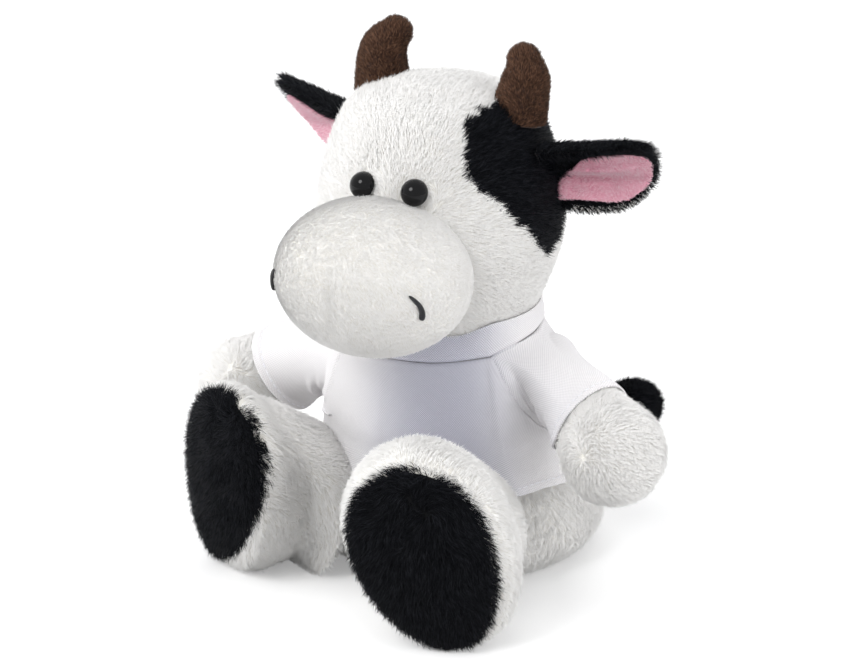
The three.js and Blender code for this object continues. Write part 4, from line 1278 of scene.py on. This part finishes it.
def make_tail():
    root = torso_middle(TAIL["up"]) + [0, float(torso_radius(TAIL["up"])) - TAIL["ball"] / 3, 0]
    path = curve([
        root, root + [0.25 * TAIL["side"], 0.8 * TAIL["back"], 0],
        root + [0.65 * TAIL["side"], 1.1 * TAIL["back"], 0.35 * TAIL["rise"]],
        root + [TAIL["side"], 0.8 * TAIL["back"], TAIL["rise"]],
    ], 60)
    tangents = unit(np.gradient(path, axis=0))
    across = unit(np.cross(tangents, UP))
    radius = TAIL["radius"]
    rings = inset(tube(path, across * radius, np.cross(tangents, across) * radius, 40), UNDER)
    padded_skin("tail_plush", rings, white_backing, "tail", "tail")
    roots, normals = roots_on(rings, DENSITY["tail"], lambda p: p[:, 1] > root[1] + 3)
    lay = np.array([1.0, 0.2, 0]) + 0.4 * wander(roots, 8, 141)
    hair("tail_fur", "tail", "white", roots, normals, lay, 0.9)
    end, ahead = path[-1], tangents[-1]
    outline = [(TUFT["radius"] * r, TUFT["length"] / 2 * d) for r, d in arc(1, 180, 0, 30)]
    rings = inset(revolve(outline, end + ahead * 0.3 * TUFT["length"], ahead), UNDER)
    padded_skin("tuft_plush", rings, black_backing, "tail", "tail_tuft")
    roots, normals = roots_on(rings, DENSITY["tuft"])
    lay = ahead + 0.4 * wander(roots, 8, 151)
    hair("tuft_fur", "tail", "black", roots, normals, lay, 1.05)


make_torso()
make_shirt_body()
make_band()
make_head()
make_muzzle()
make_eyes()
make_nostrils()
make_horns()
make_ears()
make_arms()
make_sleeves()
make_legs()
make_tail()


# Floor, light and camera

def seen_directly(tree):
    """1 for a ray from the camera, or seen in gloss or through glass."""
    path = tree.nodes.new("ShaderNodeLightPath").outputs
    either = math_node(tree, "MAXIMUM", path["Is Camera Ray"], path["Is Glossy Ray"])
    return math_node(tree, "MAXIMUM", either, path["Is Transmission Ray"])


FLOOR_REACH = 3000
FLOOR_GLOW = 0.28
AMBIENT = 0.61
# Each lamp's place, size and power, in metres and watts
LAMPS = {
    "key": ((-0.15, -0.94, 1.0), 0.55, 6.5),
    "top": ((0, -0.1, 1.4), 1.2, 4),
    "side": ((-1.2, -0.8, 0.5), 1.2, 11),
    "fill": ((1.25, -0.1, 0.4), 1.0, 7.5),
    "back": ((-0.3, 1.4, 0.9), 1.2, 7),
}
LIT_POINT = (0, -0.02, 0.09)


def make_floor():
    corners = [(-1, -1), (1, -1), (1, 1), (-1, 1)]
    mesh = mesh_of("floor", [(x * FLOOR_REACH, y * FLOOR_REACH, 0) for x, y in corners], [(0, 1, 2, 3)])
    floor = bpy.data.objects.new("floor", mesh)
    bpy.context.scene.collection.objects.link(floor)
    material, tree, surface = shader("floor_white", (0.8, 0.8, 0.8), 0.9)
    surface.inputs["Emission Color"].default_value = (1, 1, 1, 1)
    glow = math_node(tree, "MULTIPLY", seen_directly(tree), FLOOR_GLOW)
    tree.links.new(glow, surface.inputs["Emission Strength"])
    mesh.materials.append(material)


def make_world():
    world = bpy.data.worlds.new("studio")
    bpy.context.scene.world = world
    world.use_nodes = True
    tree = world.node_tree
    ambient = tree.nodes["Background"]
    ambient.inputs["Color"].default_value = (0.98, 0.985, 1, 1)
    ambient.inputs["Strength"].default_value = AMBIENT
    white = tree.nodes.new("ShaderNodeBackground")
    white.inputs["Color"].default_value = (1, 1, 1, 1)
    white.inputs["Strength"].default_value = 1
    mix = tree.nodes.new("ShaderNodeMixShader")
    tree.links.new(seen_directly(tree), mix.inputs["Fac"])
    tree.links.new(ambient.outputs[0], mix.inputs[1])
    tree.links.new(white.outputs[0], mix.inputs[2])
    tree.links.new(mix.outputs[0], tree.nodes["World Output"].inputs["Surface"])


def make_lamps():
    """Soft round lamps, of which only the key shows in gloss."""
    for name, (place, size, power) in LAMPS.items():
        light = bpy.data.lights.new(name, "AREA")
        light.shape = "DISK"
        light.size = size
        light.energy = power
        made = bpy.data.objects.new(name, light)
        made.location = place
        made.rotation_euler = (Vector(LIT_POINT) - Vector(place)).to_track_quat("-Z", "Y").to_euler()
        made.visible_glossy = name == "key"
        bpy.context.scene.collection.objects.link(made)


# The photograph's view: a long lens, to the toy's left and above it
VIEW = {"azimuth": 33, "elevation": 20, "distance": 1.2, "target": (0.002, -0.025, 0.09), "lens": 137.06}


def make_camera():
    azimuth, elevation = math.radians(VIEW["azimuth"]), math.radians(VIEW["elevation"])
    level = math.cos(elevation)
    back = Vector((math.sin(azimuth) * level, -math.cos(azimuth) * level, math.sin(elevation)))
    camera = bpy.data.objects.new("camera", bpy.data.cameras.new("camera"))
    camera.data.sensor_width = 36
    camera.data.lens = VIEW["lens"]
    camera.data.clip_end = 20
    camera.location = Vector(VIEW["target"]) + back * VIEW["distance"]
    camera.rotation_euler = back.to_track_quat("Z", "Y").to_euler()
    bpy.context.scene.collection.objects.link(camera)
    bpy.context.scene.camera = camera


make_floor()
make_world()
make_lamps()
make_camera()
bpy.context.scene.view_settings.view_transform = "Standard"

washer = backing("washer_plastic", (0.7, 0.7, 0.66), (0.82, 0.82, 0.78), 300, 0.5)
for side in SIDES:
    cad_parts[f"eye_washer_{side}"].data.materials.clear()
    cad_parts[f"eye_washer_{side}"].data.materials.append(washer)
